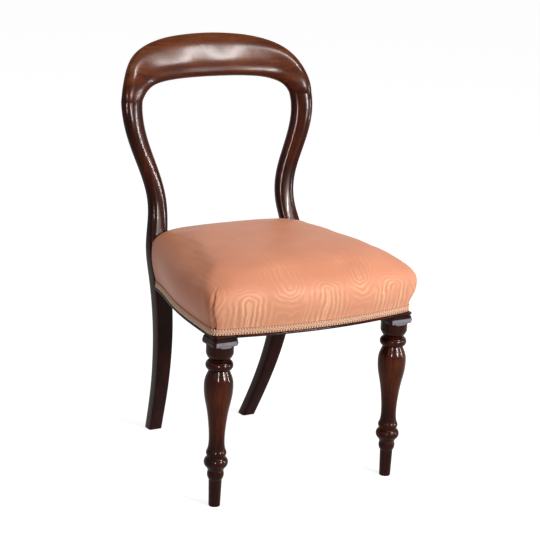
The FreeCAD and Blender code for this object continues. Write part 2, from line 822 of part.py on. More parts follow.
def canvas_wire(plan, height, grow):
    front, rear, half_front, half_rear = plan
    cut = 24.0
    a, b = half_front + grow, half_rear + grow
    low, high = front - grow, rear + grow
    right = [(a - cut, low), (a, low + cut), (b, high - cut), (b - cut, high)]
    points = [V(x, y, height) for x, y in right] + [V(-x, y, height) for x, y in reversed(right)]
    return Part.makePolygon(points + points[:1])


def canvas_block(grow):
    """Solid under the hessian, grown on its sloping sides and its top."""
    foot = canvas_wire(canvas_foot, rail_top_height, grow)
    top = canvas_wire(canvas_top, canvas_under_height + grow, grow)
    return Part.makeLoft([foot, top], True, True)


def canvas_flat(grow, thickness):
    foot = Part.Face(canvas_wire(canvas_foot, rail_top_height, canvas_flange + grow))
    return foot.extrude(V(0, 0, thickness))


def canvas_body():
    posts = post_clearance(cover_post_gap + cover_thickness + layer_gap)
    cloth = canvas_block(canvas_thickness).fuse(canvas_flat(0, canvas_thickness))
    return only_solid(cloth.cut([canvas_block(0)] + posts))


# Upholstered seat

def seat_sections(inset, start):
    """Outlines of the seat from a starting height upwards, drawn in on every side by an
    inset from the outside of the cover."""
    base = gimp_top_height
    skirt = layer_gap + cover_thickness
    rise = start - base
    foot = (rise, rise, blend(seat_levels, rise, 2), blend(seat_levels, rise, 3), 1.0)
    rows = [foot] + [row for row in seat_levels if row[0] > rise + 4]
    sections = []
    for front, rear, bulge, corner, share in rows:
        down = 0 if front == rise else inset * max(0.0, min(1.0, front / seat_roll_rise))
        sections.append(
            seat_outline(base + front - down, base + rear - down, skirt - inset, bulge, corner, share)
        )
    return sections


def seat_layers():
    """Cover, wadding and stuffing, one inside the other."""
    wadding_inset = cover_thickness + layer_gap
    stuffing_inset = wadding_inset + wadding_thickness + layer_gap
    stuffing_foot = rail_top_height + layer_gap
    posts = post_clearance(cover_post_gap)
    cover = cup(seat_sections(0, gimp_bottom_height), seat_sections(cover_thickness, gimp_bottom_height))
    wadding = cup(
        seat_sections(wadding_inset, stuffing_foot),
        seat_sections(wadding_inset + wadding_thickness, stuffing_foot),
    )
    canvas_room = canvas_block(canvas_thickness + layer_gap)
    flange_room = canvas_flat(layer_gap, canvas_thickness + layer_gap)
    stuffing = skin(seat_sections(stuffing_inset, stuffing_foot)).cut([canvas_room, flange_room])
    return [only_solid(layer.cut(posts)) for layer in (cover, wadding, stuffing)]


def gimp_braids():
    """One length round the front and sides, and a short one between the back posts."""
    outside = 2 * layer_gap + cover_thickness
    braid = ring(gimp_bottom_height, gimp_top_height, outside, outside + gimp_thickness)
    lengths = braid.cut(post_clearance(cover_post_gap)).Solids
    return sorted(lengths, key=lambda solid: -solid.Volume)


# Back

def dowel_places():
    height, out, back, half_width, half_depth, toe = post_pattern[-1][:6]
    toe = math.radians(toe)
    across = V(math.cos(toe), -math.sin(toe), 0)
    return [V(out, back, height) + across * (s * dowel_spacing / 2) for s in (-1, 1)]


def dowels(slack=0.0):
    """Both dowels of the right post; with slack, their holes."""
    length = dowel_length + (2 * mortise_end_gap if slack else 0)
    pins = []
    for place in dowel_places():
        pin = Part.makeCylinder(dowel_radius + slack, length, place - V(0, 0, length / 2))
        pins.append(pin)
    return pins


def back_post():
    holes = dowels(layer_gap)
    rail_end = box(side_inside(side_rail_end()), side_edge(side_rail_end(), 0), 300, side_rail_end(),
                   rail_bottom_height, rail_top_height)
    back_end = box(0, back_rail_end(), back_rail_rear - back_rail_thickness, back_rail_rear,
                   rail_bottom_height, rail_top_height)
    mortises = [side_tenon_rear(joint_clearance, mortise_end_gap), back_tenon(joint_clearance, mortise_end_gap)]
    return only_solid(post_body().cut(holes + mortises + [rail_end, back_end]))


def crest_rail():
    holes = dowels(layer_gap)
    return only_solid(crest_body().cut(holes + [mirrored(hole) for hole in holes]))


# Put together

def chair():
    pieces = {}
    blocks, screws, screw_holes = {}, [], []
    for end, plan in block_plans().items():
        holes = block_screws(plan, layer_gap)
        block = corner_block(plan).cut(holes)
        blocks["corner_block_" + end + "_right"] = block
        blocks["corner_block_" + end + "_left"] = mirrored(block)
        for screw in block_screws(plan):
            screws += [screw, mirrored(screw)]
        screw_holes += holes + [mirrored(hole) for hole in holes]

    strips, tack_places = webbing()
    tack_holes = [tack(out, back, layer_gap) for out, back in tack_places]
    fastener_holes = screw_holes + tack_holes

    def drilled(shape):
        near = [hole for hole in fastener_holes if shape.BoundBox.intersect(hole.BoundBox)]
        return only_solid(shape.cut(near) if near else shape)

    pieces["crest_rail"] = crest_rail()
    post = back_post()
    pieces["back_post_right"] = post
    pieces["back_post_left"] = mirrored(post)
    pins = dowels()
    pieces["crest_dowels"] = Part.makeCompound(pins + [mirrored(pin) for pin in pins])
    leg = front_leg_body()
    pieces["front_leg_right"] = leg
    pieces["front_leg_left"] = mirrored(leg)
    pieces["front_rail"] = drilled(front_rail_body())
    rail = drilled(side_rail_body())
    pieces["side_rail_right"] = rail
    pieces["side_rail_left"] = mirrored(rail)
    pieces["back_rail"] = drilled(back_rail_body())
    front_bead, side_bead = rail_beads()
    pieces["front_rail_bead"] = front_bead
    pieces["side_rail_bead_right"] = side_bead
    pieces["side_rail_bead_left"] = mirrored(side_bead)
    pieces.update(blocks)
    pieces["corner_block_screws"] = Part.makeCompound(screws)
    pieces.update({name: drilled(strip) for name, strip in strips.items()})
    pieces["webbing_tacks"] = Part.makeCompound([tack(out, back) for out, back in tack_places])
    coil = spring_body()
    for name, (out, back) in spring_places().items():
        spring = coil.copy()
        spring.translate(V(out, back, rail_bottom_height + layer_gap))
        pieces["seat_spring_" + name] = spring
    pieces["spring_canvas"] = canvas_body()
    cover, wadding, stuffing = seat_layers()
    pieces["hair_stuffing"] = stuffing
    pieces["cotton_wadding"] = wadding
    pieces["seat_cover"] = cover
    pieces["gimp_braid_front"], pieces["gimp_braid_back"] = gimp_braids()
    return pieces


def chair_middle():
    """Half-way between the front of the seat and the back of the crest."""
    bulge = max(level[2] for level in seat_levels)
    front = front_edge(0, layer_gap + cover_thickness + bulge)
    height, out, back, climb, toe, lean, half_face, half_thick = crest_pattern[-1]
    lean = math.radians(lean)
    rear = back + math.hypot(half_face * math.sin(lean), half_thick * math.cos(lean))
    return (front + rear) / 2


def main():
    os.makedirs("parts", exist_ok=True)
    print("least room between the turns of a spring: %.2f mm" % spring_gap())
    for name, shape in chair().items():
        shape.translate(V(0, -chair_middle(), 0))
        shape.exportStep("parts/" + name + ".step")
        print("%s: %d solid(s), %.0f mm3, valid %s" % (name, len(shape.Solids), shape.Volume, shape.isValid()))


main()
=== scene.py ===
# %% [markdown]
# # A balloon back dining chair
# The chair has a polished mahogany hoop, turned front legs and a sprung seat in watered
# silk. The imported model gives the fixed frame: every wooden and metal piece is already
# there at its true size. This lesson gives those pieces their finishes and makes the soft
# pieces, which a CAD solid can only block out. All lengths are in metres.

# %% Load the frame
from functools import partial
import math
import bmesh
import bpy
from mathutils import Matrix, Vector


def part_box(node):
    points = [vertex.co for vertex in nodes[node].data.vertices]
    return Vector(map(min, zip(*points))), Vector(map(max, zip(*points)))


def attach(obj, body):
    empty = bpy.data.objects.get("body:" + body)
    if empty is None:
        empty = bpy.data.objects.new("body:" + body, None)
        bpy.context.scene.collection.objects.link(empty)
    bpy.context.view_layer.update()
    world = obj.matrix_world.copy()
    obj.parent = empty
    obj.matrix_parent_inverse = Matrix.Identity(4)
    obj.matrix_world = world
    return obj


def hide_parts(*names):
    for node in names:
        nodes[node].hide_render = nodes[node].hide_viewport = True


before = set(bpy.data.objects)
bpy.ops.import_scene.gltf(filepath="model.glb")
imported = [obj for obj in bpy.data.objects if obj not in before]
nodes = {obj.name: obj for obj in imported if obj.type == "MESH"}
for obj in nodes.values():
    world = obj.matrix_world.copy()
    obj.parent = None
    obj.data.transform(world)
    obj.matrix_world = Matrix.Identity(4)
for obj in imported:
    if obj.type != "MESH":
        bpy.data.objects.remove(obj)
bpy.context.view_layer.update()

scene = bpy.context.scene
leg_low, leg_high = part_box("front_leg_right")
LEG_Y = (leg_low.y + leg_high.y) / 2
print("nodes:", len(nodes), "leg axis at y =", round(LEG_Y, 4))

# %% [markdown]
# ## Camera
# The photograph was taken with a long lens from the chair's front left, a little above the
# seat. The place and the three angles were worked out from the feet, the seat line and the
# hoop. The picture is rolled slightly, as hand-held ones are.

# %% Camera
CAMERA_PLACE = Vector((-1.83613, LEG_Y - 2.94441, 1.41222))
CAMERA_TURN, CAMERA_DIP, CAMERA_ROLL = -0.533006, 0.266268, 0.044076  # radians
SENSOR_WIDTH, LENS_LENGTH = 36, 119.97  # millimetres


def aim_camera():
    turn, dip, roll = CAMERA_TURN, CAMERA_DIP, CAMERA_ROLL
    forward = Vector((
        -math.sin(turn) * math.cos(dip), math.cos(turn) * math.cos(dip), -math.sin(dip)))
    level = Vector((math.cos(turn), math.sin(turn), 0))
    up = level.cross(forward)
    right = level * math.cos(roll) + up * math.sin(roll)
    above = up * math.cos(roll) - level * math.sin(roll)
    rotation = Matrix((right, above, -forward)).transposed().to_4x4()
    camera_data = bpy.data.cameras.new("camera")
    camera_data.sensor_width = SENSOR_WIDTH
    camera_data.lens = LENS_LENGTH
    camera = bpy.data.objects.new("camera", camera_data)
    scene.collection.objects.link(camera)
    camera.matrix_world = Matrix.Translation(CAMERA_PLACE) @ rotation
    scene.camera = camera


aim_camera()
print("camera set")

# %% [markdown]
# ## Small helpers
# Every piece made here is a mesh, so one helper turns points and faces into an object that
# rides on the chair. Most of these meshes are rows of points round a closed line, so
# another helper joins such rows. A few more keep the node code short.


# %% Mesh helper
def piece_from(name, points, faces, slot, smooth=True):
    """New mesh object. With a slot it rides on the chair; cutters and the floor have none."""
    mesh = bpy.data.meshes.new(name)
    mesh.from_pydata([tuple(p) for p in points], [], faces)
    mesh.update()
    if smooth:
        mesh.polygons.foreach_set("use_smooth", [True] * len(mesh.polygons))
    piece = bpy.data.objects.new(name, mesh)
    scene.collection.objects.link(piece)
    if slot:
        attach(piece, "root")
    return piece


# %% Faces between rows of points
def ring_faces(rows, count):
    """Quads between rows of count points each, closed round every row."""
    faces = []
    for row in range(rows - 1):
        for k in range(count):
            a, b = row * count + k, row * count + (k + 1) % count
            faces.append((a, b, b + count, a + count))
    return faces


def last_ring(rows, count):
    """One face over the last row."""
    return tuple(range((rows - 1) * count, rows * count))


def solid_faces(rows, count):
    return [*ring_faces(rows, count), tuple(reversed(range(count))), last_ring(rows, count)]


# %% Applying modifiers
def baked(piece):
    """Replaces the piece's mesh by what its modifiers make of it."""
    graph = bpy.context.evaluated_depsgraph_get()
    mesh = bpy.data.meshes.new_from_object(piece.evaluated_get(graph))
    piece.modifiers.clear()
    old = piece.data
    piece.data = mesh
    bpy.data.meshes.remove(old)
    piece.data.polygons.foreach_set("use_smooth", [True] * len(piece.data.polygons))


# %% Node helpers
def add(tree, kind, **values):
    """New node, set out to the right of the earlier ones, six to a row."""
    row, column = divmod(len(tree.nodes), 6)
    node = tree.nodes.new(kind)
    node.location = (220 * column, -320 * row)
    for key, value in values.items():
        setattr(node, key, value)
    return node


def put(socket, value):
    """Links the socket where the value is another socket, and sets it otherwise."""
    if isinstance(value, bpy.types.NodeSocket):
        socket.id_data.links.new(value, socket)
    else:
        socket.default_value = (*value, 1) if socket.type == "RGBA" else value


def feed(node, **values):
    """Sets or links a node's inputs by name, with _ for a space."""
    for key, value in values.items():
        put(node.inputs[key.replace("_", " ")], value)


def math_node(tree, operation, first, second=None, clamp=False, third=None):
    node = add(tree, "ShaderNodeMath", operation=operation, use_clamp=clamp)
    for socket, value in zip(node.inputs, (first, second, third)):
        if value is not None:
            put(socket, value)
    return node.outputs[0]


def mix_colour(tree, amount, first, second, blend="MIX"):
    node = add(tree, "ShaderNodeMix", data_type="RGBA", blend_type=blend)
    for place, value in ((0, amount), (6, first), (7, second)):
        put(node.inputs[place], value)
    return node.outputs[2]


def ramp(tree, value, stops):
    node = add(tree, "ShaderNodeValToRGB")
    points = node.color_ramp.elements
    while len(points) < len(stops):
        points.new(0.5)
    for point, (place, colour) in zip(points, stops):
        point.position = place
        point.color = (*colour, 1)
    put(node.inputs[0], value)
    return node.outputs[0]


def object_place(tree):
    return add(tree, "ShaderNodeTexCoord").outputs["Object"]


def surface_normal(tree):
    return split(tree, add(tree, "ShaderNodeNewGeometry").outputs["Normal"])


def split(tree, vector):
    """The three parts of a vector."""
    node = add(tree, "ShaderNodeSeparateXYZ")
    put(node.inputs[0], vector)
    return node.outputs


def noise_value(tree, scale, detail, source, rough=0.5, warp=0.0):
    node = add(tree, "ShaderNodeTexNoise")
    feed(node, Scale=scale, Detail=detail, Vector=source, Roughness=rough, Distortion=warp)
    return node.outputs["Fac"]


def bump(tree, height, strength, distance):
    node = add(tree, "ShaderNodeBump")
    feed(node, Strength=strength, Distance=distance, Height=height)
    return node.outputs["Normal"]


def group_tree(name, inputs, outputs):
    """Empty node group with named sockets: (name, kind, default) in, (name, kind) out."""
    tree = bpy.data.node_groups.new(name, "ShaderNodeTree")
    for key, kind, value in inputs:
        socket = tree.interface.new_socket(key, in_out="INPUT", socket_type="NodeSocket" + kind)
        socket.default_value = value
    for key, kind in outputs:
        tree.interface.new_socket(key, in_out="OUTPUT", socket_type="NodeSocket" + kind)
    return tree, add(tree, "NodeGroupInput"), add(tree, "NodeGroupOutput")


def place_group(tree, group, **values):
    node = add(tree, "ShaderNodeGroup")
    node.node_tree = group
    feed(node, **values)
    return node.outputs


def new_material(name):
    material = bpy.data.materials.new(name)
    material.use_nodes = True
    tree = material.node_tree
    return material, tree, tree.nodes["Principled BSDF"]


# %% [markdown]
# ## Mahogany
# Polished mahogany has three scales of figure: broad lighter and darker clouds, streaks
# that run along the plank, and fine dark pores. They share one node group, since the
# crest, the posts, the legs and the rails are all cut from it, each with its own direction
# of grain. The coordinate is squeezed across the grain and stretched along it before it
# reaches the noises.

# %% Sum of weighted values
def weighted_sum(tree, *parts):
    total = None
    for value, weight in parts:
        part = math_node(tree, "MULTIPLY", value, weight)
        total = part if total is None else math_node(tree, "ADD", total, part)
    return total


# %% Mahogany figure group
def make_mahogany_figure():
    tree, given, result = group_tree(
        "mahogany_figure",
        [("Grain", "Vector", (30, 30, 2)), ("Shift", "Vector", (0, 0, 0)), ("Age", "Float", 0.0)],
        [("Color", "Color"), ("Polish", "Float"), ("Height", "Float")],
    )
    moved = add(tree, "ShaderNodeVectorMath", operation="ADD")
    put(moved.inputs[0], object_place(tree))
    put(moved.inputs[1], given.outputs["Shift"])
    grain = add(tree, "ShaderNodeVectorMath", operation="MULTIPLY")
    put(grain.inputs[0], moved.outputs[0])
    put(grain.inputs[1], given.outputs["Grain"])
    clouds = noise_value(tree, 9.0, 3.0, moved.outputs[0], warp=0.4)
    streaks = noise_value(tree, 2.2, 5.0, grain.outputs[0], rough=0.62, warp=0.5)
    lines = noise_value(tree, 9.0, 4.0, grain.outputs[0], rough=0.6, warp=0.2)
    pores = noise_value(tree, 34.0, 2.0, grain.outputs[0])
    broad = weighted_sum(tree, (clouds, 0.35), (streaks, 0.45), (lines, 0.20))
    colour = ramp(tree, broad, [
        (0.34, (0.036, 0.0065, 0.0018)), (0.46, (0.080, 0.0175, 0.0042)),
        (0.55, (0.122, 0.0310, 0.0072)), (0.68, (0.195, 0.0610, 0.0150)),
    ])
    pits = ramp(tree, pores, [(0.30, (0.45, 0.45, 0.45)), (0.40, (1, 1, 1))])
    # The third input carries painted light and shade by height; the gamma darkens the figure by
    # it.
    shaded = add(tree, "ShaderNodeGamma")
    shade_gamma = math_node(tree, "MULTIPLY_ADD", given.outputs["Age"], 0.9, third=1.0)
    feed(shaded, Color=mix_colour(tree, 1.0, colour, pits, "MULTIPLY"), Gamma=shade_gamma)
    polish = math_node(tree, "MULTIPLY", lines, 0.12)
    feed(result, Color=shaded.outputs[0], Polish=polish, Height=pits)
    return tree


MAHOGANY_FIGURE = make_mahogany_figure()


# %% [markdown]
# The colour of the mahogany is painted lighter and darker by height, as painted light and shade.
# On this chair the face of the crest and the vase of each leg are the lightest, where they face
# the light, and the posts, the rails and the small turnings are nearly black, in shade. So each
# mahogany gets a painted shade that changes with height.
# A second group gives all of them that height, with patches that make the steps uneven.

# %% Patchy height group
PATCH_RISE = 0.024


def make_patchy_height():
    tree, _, result = group_tree("patchy_height", [], [("Height", "Float")])
    place = object_place(tree)
    patch = noise_value(tree, 22, 3, place)
    height = split(tree, place)[2]
    feed(result, Height=weighted_sum(tree, (height, 1.0), (patch, PATCH_RISE)))
    return tree


PATCHY_HEIGHT = make_patchy_height()


# %% Mahogany materials
# The wood itself mirrors little, because the white room would turn it grey. Four lamps
# that only the wood sees give it its lights.
WOOD_SPECULAR, WOOD_TINT = 0.03, (1.0, 0.55, 0.42)


def mahogany(name, grain, painted_shades, shift=(0, 0, 0), roughness=0.26, coat=0.11, coat_roughness=0.12):
    """Painted shades are (height in metres, painted darkness from 0 to 1) in rising order."""
    material, tree, shader = new_material(name)
    height = place_group(tree, PATCHY_HEIGHT)["Height"]
    painted_shade = ramp(tree, height, [(z + PATCH_RISE / 2, (dark, dark, dark)) for z, dark in painted_shades])
    figure = place_group(tree, MAHOGANY_FIGURE, Grain=grain, Shift=shift, Age=painted_shade)
    feed(shader, Base_Color=figure["Color"],
         Roughness=math_node(tree, "ADD", figure["Polish"], roughness),
         Normal=bump(tree, figure["Height"], 0.10, 0.0002),
         Specular_IOR_Level=WOOD_SPECULAR, Specular_Tint=WOOD_TINT,
         Coat_Weight=coat, Coat_Roughness=coat_roughness)
    return material


def finish_with(material, *names):
    """Gives each named piece of the frame one material all over and smooth shading."""
    for name in names:
        mesh = nodes[name].data
        mesh.materials.clear()
        mesh.materials.append(material)
        mesh.polygons.foreach_set("material_index", [0] * len(mesh.polygons))
        mesh.polygons.foreach_set("use_smooth", [True] * len(mesh.polygons))


POSTS, LEGS = ("back_post_left", "back_post_right"), ("front_leg_left", "front_leg_right")
RAILS = ("front_rail", "side_rail_left", "side_rail_right", "back_rail",
         "front_rail_bead", "side_rail_bead_left", "side_rail_bead_right")
POLISHED_NAMES = ("crest_rail", *POSTS, *LEGS, *RAILS)
# Painted light and shade by height, as (height, darkness): crest face and leg vases lighter,
# posts, rails and small turnings darker.
HOOP_PAINTED_SHADE = [(0.20, 0.85), (0.55, 0.72), (0.73, 0.62), (0.80, 0.20), (0.86, 0.0)]
LEG_PAINTED_SHADE = [(0.05, 0.75), (0.135, 0.62), (0.16, 0.32), (0.25, 0.26), (0.29, 0.55), (0.36, 0.85)]
RAIL_PAINTED_SHADE = [(0.30, 0.8), (0.40, 0.7)]
UPRIGHT_GRAIN, LEVEL_GRAIN = (30, 30, 2.4), (2.2, 26, 26)
CREST_WOOD = mahogany("crest_mahogany", LEVEL_GRAIN, HOOP_PAINTED_SHADE, shift=(0.3, 0.1, 0.0),
                      roughness=0.34, coat_roughness=0.18)
POST_WOOD = mahogany("post_mahogany", UPRIGHT_GRAIN, HOOP_PAINTED_SHADE, shift=(0.0, 0.7, 0.2))
LEG_WOOD = mahogany("leg_mahogany", UPRIGHT_GRAIN, LEG_PAINTED_SHADE, shift=(0.5, 0.0, 0.9), coat=0.15)
RAIL_WOOD = mahogany("rail_mahogany", LEVEL_GRAIN, RAIL_PAINTED_SHADE, shift=(0.1, 0.4, 0.0))
finish_with(CREST_WOOD, "crest_rail")
finish_with(POST_WOOD, *POSTS)
finish_with(LEG_WOOD, *LEGS)
finish_with(RAIL_WOOD, *RAILS)
print("mahogany on", len(POLISHED_NAMES), "pieces")


# %% [markdown]
# The square tablets above the turnings catch the light on their flat front faces, so a grey
# painted reflection is mixed into the wood there. It is painted by place: only between the two
# heights of a tablet, and only where the surface looks straight forward.

# %% Painted reflection on the tablets
TABLET_LOW, TABLET_HIGH = 0.338, 0.3505
STRAIGHT_AHEAD = 0.9
PAINTED_REFLECTION_GREY = (0.19, 0.18, 0.20)


# Mixes a grey painted reflection into the wood on the tablets' front faces.
def paint_reflection_on(material, low, high):
    tree = material.node_tree
    shader = tree.nodes["Principled BSDF"]
    wood = shader.inputs["Base Color"].links[0].from_socket
    calc, place = partial(math_node, tree), object_place(tree)
    height = split(tree, place)[2]
    forward = calc("MULTIPLY", surface_normal(tree)[1], -1.0)
    front = calc("GREATER_THAN", forward, STRAIGHT_AHEAD)
    between = calc("MULTIPLY", calc("GREATER_THAN", height, low), calc("LESS_THAN", height, high))
    cloud = calc("MULTIPLY_ADD", noise_value(tree, 90, 3, place), 1.1, clamp=True, third=0.5)
    amount = calc("MULTIPLY", calc("MULTIPLY", front, between), cloud)
    feed(shader, Base_Color=mix_colour(tree, amount, wood, PAINTED_REFLECTION_GREY))


paint_reflection_on(LEG_WOOD, TABLET_LOW, TABLET_HIGH)
print("bloom on the tablets from", TABLET_LOW, "to", TABLET_HIGH)

# %% [markdown]
# ## Plain wood and metal
# The corner blocks and dowels are unpolished beech: a pale wood with short flecks. The
# screws, tacks and springs are metal that has dulled in a century under a seat.

# %% Plain wood
def make_beech_flecks():
    tree, _, result = group_tree("beech_flecks", [], [("Fleck", "Float")])
    stretch = add(tree, "ShaderNodeMapping")
    feed(stretch, Vector=object_place(tree), Scale=(14, 90, 90))
    feed(result, Fleck=noise_value(tree, 4, 6, stretch.outputs[0]))
    return tree


BEECH_FLECKS = make_beech_flecks()


def plain_wood(name, light, dark):
    material, tree, shader = new_material(name)
    fleck = place_group(tree, BEECH_FLECKS)["Fleck"]
    feed(shader, Base_Color=ramp(tree, fleck, [(0.35, dark), (0.65, light)]), Roughness=0.75,
         Normal=bump(tree, fleck, 0.2, 0.0005))
    return material


# %% Dull metal
def make_metal_patches():
    tree, _, result = group_tree("metal_patches", [], [("Patch", "Float")])
    feed(result, Patch=noise_value(tree, 120, 5, object_place(tree)))
    return tree


METAL_PATCHES = make_metal_patches()


def dull_metal(name, bright, dark, roughness):
    material, tree, shader = new_material(name)
    patch = place_group(tree, METAL_PATCHES)["Patch"]
    feed(shader, Base_Color=ramp(tree, patch, [(0.35, dark), (0.65, bright)]), Metallic=1.0,
         Roughness=math_node(tree, "MULTIPLY_ADD", patch, 0.3, third=roughness))
    return material


BLOCK_WOOD = plain_wood("block_beech", (0.42, 0.27, 0.14), (0.28, 0.16, 0.08))
DOWEL_WOOD = plain_wood("dowel_beech", (0.5, 0.34, 0.2), (0.36, 0.22, 0.12))
SCREW_STEEL = dull_metal("screw_steel", (0.34, 0.31, 0.28), (0.16, 0.12, 0.1), 0.3)
TACK_STEEL = dull_metal("tack_blued", (0.06, 0.065, 0.08), (0.02, 0.018, 0.02), 0.25)
SPRING_STEEL = dull_metal("spring_coppered", (0.42, 0.25, 0.16), (0.16, 0.09, 0.06), 0.3)
finish_with(BLOCK_WOOD, "corner_block_front_left", "corner_block_front_right",
            "corner_block_rear_left", "corner_block_rear_right")
finish_with(DOWEL_WOOD, "crest_dowels")
finish_with(SCREW_STEEL, "corner_block_screws")
finish_with(TACK_STEEL, "webbing_tacks")
finish_with(SPRING_STEEL, *[name for name in nodes if name.startswith("seat_spring")])
print("plain wood and metal done")

# %% [markdown]
# ## The outline of the seat
# Seen from above the seat has a bowed front, rounded corners, sides that curve in towards
# the back and a straight back edge. One closed curve through a few control points gives
# all of it, so the cushion, the braid and the cutters are made from the same function. The
# numbers are those of the frame, measured from the axis of the front legs.

# %% Outline of the seat
FRONT_BOW, CORNER_WIDTH, CORNER_BACK = 0.028, 0.231, -0.016
REAR_WIDTH, REAR_BACK = 0.1755, 0.368
BOW_RADIUS = (CORNER_WIDTH**2 + FRONT_BOW**2) / (2 * FRONT_BOW)
# How far the side has come in at each distance back, as a share from corner to rear.
SIDE_LINE = [(-0.016, 0.0), (0.060, 0.081), (0.120, 0.189), (0.180, 0.351),
             (0.240, 0.613), (0.290, 0.838), (0.345, 0.964), (0.375, 1.0)]


def clamped(value):
    return max(0.0, min(1.0, value))


def along_line(rows, at):
    """Smooth value between the rows of a pattern."""
    i = max(0, min(len(rows) - 2, sum(1 for row in rows[1:-1] if row[0] <= at)))

    def slope(k):
        low, high = max(0, k - 1), min(len(rows) - 1, k + 1)
        return (rows[high][1] - rows[low][1]) / (rows[high][0] - rows[low][0])

    span, rise = rows[i + 1][0] - rows[i][0], rows[i + 1][1] - rows[i][1]
    t, start, end = (at - rows[i][0]) / span, slope(i) * span, slope(i + 1) * span
    bend, twist = 3 * rise - 2 * start - end, start + end - 2 * rise
    return rows[i][1] + t * start + t**2 * bend + t**3 * twist


def front_edge(out, offset):
    return CORNER_BACK - FRONT_BOW - offset + BOW_RADIUS - math.sqrt(BOW_RADIUS**2 - out**2)


def side_edge(back, offset):
    return CORNER_WIDTH + (REAR_WIDTH - CORNER_WIDTH) * along_line(SIDE_LINE, back) + offset


# %% Control points of the outline
CROWN_BACK, FADE_FROM = 0.165, 0.25
SIDE_FADE, REAR_FADE = 0.55, 0.35


def outline_poles(offset, bulge=0.0, corner=0.009, share=1.0):
    """Right half and mirrored left half, from the middle of the front round to it again.

    The bulge grows weaker towards the back, and the share draws the whole in to the crown.
    """
    full = offset + bulge
    rear = REAR_BACK + offset + bulge * REAR_FADE
    corner_out, corner_back = CORNER_WIDTH + full, front_edge(CORNER_WIDTH, full)
    near, far = corner, 2.2 * corner

    def bulge_at(back):
        past = clamped((back - FADE_FROM) / (REAR_BACK - FADE_FROM))
        return offset + bulge * (1 - (1 - SIDE_FADE) * past)

    rear_out = side_edge(rear - near, offset + bulge * SIDE_FADE)
    outs = (0.06, 0.12, corner_out - far, corner_out - near)
    backs = (corner_back + near, corner_back + far, 0.09, 0.15, 0.205, 0.255, 0.3, 0.335)
    right = [(out, front_edge(out, full)) for out in outs]
    right += [(side_edge(back, bulge_at(back)), back) for back in backs]
    right += [(rear_out, rear - near), (rear_out - near, rear),
              (rear_out * 0.6, rear), (rear_out * 0.3, rear)]
    left = [(-out, back) for out, back in reversed(right)]
    loop = [(0.0, front_edge(0, full))] + right + [(0.0, rear)] + left
    return [(out * share, CROWN_BACK + (back - CROWN_BACK) * share) for out, back in loop]


# %% Points along the outline
def closed_spline(poles, steps):
    """Points of the smooth closed curve that the poles draw, the same number per pole."""
    count, points = len(poles), []
    for k in range(count):
        a, b, c, d = (Vector(poles[(k + j - 1) % count]) for j in range(4))
        for s in range(steps):
            t = s / steps
            points.append((
                a * (1 - t)**3 + b * (3 * t**3 - 6 * t**2 + 4)
                + c * (-3 * t**3 + 3 * t**2 + 3 * t + 1) + d * t**3
            ) / 6)
    return points


print("outline of", len(outline_poles(0)), "control points")

# %% [markdown]
# ## The cushion
# An overstuffed seat is drawn in at the braid, swells over it and rolls into a crowned
# top. A cage of control points, subdivided, gives that form. It starts a little lean: a
# cloth simulation with pressure then fills it as stuffing fills a cover. After that the
# room for the back posts and for the frame below is cut out of it.

# %% Levels of the cushion
BRAID_TOP, BRAID_FOOT = 0.3775, 0.364
# Each level has its height at the front and at the rear above the top of the braid, its
# bulge, the size of its corners and its share of the plan.
CUSHION_LEVELS = [
    (-0.0300, -0.0300, 0.0, 0.0090, 1.0),
    (-0.0135, -0.0135, 0.0, 0.0090, 1.0),
    (-0.0070, -0.0070, 0.0, 0.0090, 1.0),
    (0.0000, 0.0000, 0.0001, 0.0092, 1.0),
    (0.0070, 0.0070, 0.0026, 0.0110, 1.0),
    (0.0160, 0.0160, 0.0072, 0.0125, 1.0),
    (0.0340, 0.0360, 0.0140, 0.0140, 1.0),
    (0.0550, 0.0620, 0.0175, 0.0160, 1.0),
    (0.0730, 0.0880, 0.0115, 0.0220, 1.0),
    (0.0840, 0.1030, 0.0020, 0.0300, 0.97),
    (0.0930, 0.1115, 0.0, 0.0360, 0.885),
    (0.1015, 0.1155, 0.0, 0.0420, 0.73),
    (0.1090, 0.1175, 0.0, 0.0460, 0.5),
    (0.1130, 0.1182, 0.0, 0.0460, 0.26),
]


def cushion_cage(offset):
    middle, points = front_edge(0, 0), []
    for front, rear, bulge, corner, share in CUSHION_LEVELS:
        poles = outline_poles(offset, bulge, corner, share)
        for out, back in poles:
            tilt = (back - middle) / (REAR_BACK - middle)
            points.append((out, back + LEG_Y, BRAID_TOP + front + (rear - front) * tilt))
    return points, solid_faces(len(CUSHION_LEVELS), len(poles))


CAGE_OFFSET, REMESH_SIZE = 0.0010, 0.005
cushion = piece_from("seat_cushion", *cushion_cage(CAGE_OFFSET), "moire_fabric")
subdivide = cushion.modifiers.new("subdivide", "SUBSURF")
subdivide.levels = 2
remesh = cushion.modifiers.new("remesh", "REMESH")
remesh.mode, remesh.voxel_size = "VOXEL", REMESH_SIZE
relax = cushion.modifiers.new("relax", "SMOOTH")
relax.factor, relax.iterations = 0.5, 3
baked(cushion)
print("cushion starts with", len(cushion.data.vertices), "points")


# %% Evening out
def evened_out(mesh, moves, rounds):
    """Each point's move becomes the mean of its own and its neighbours'."""
    near = [[] for _ in mesh.vertices]
    for a, b in (edge.vertices for edge in mesh.edges):
        near[a].append(b)
        near[b].append(a)
    for _ in range(rounds):
        moves = [(moves[k] + sum((moves[n] for n in near[k]), Vector())) / (len(near[k]) + 1)
                 for k in range(len(moves))]
    return moves


# %% Filling the cushion
HOLD_RISE = 0.012
POST_HOLD_OUT, POST_HOLD_BACK, POST_HOLD_RUN = 0.12, 0.325, 0.02
EVENING_ROUNDS = 16


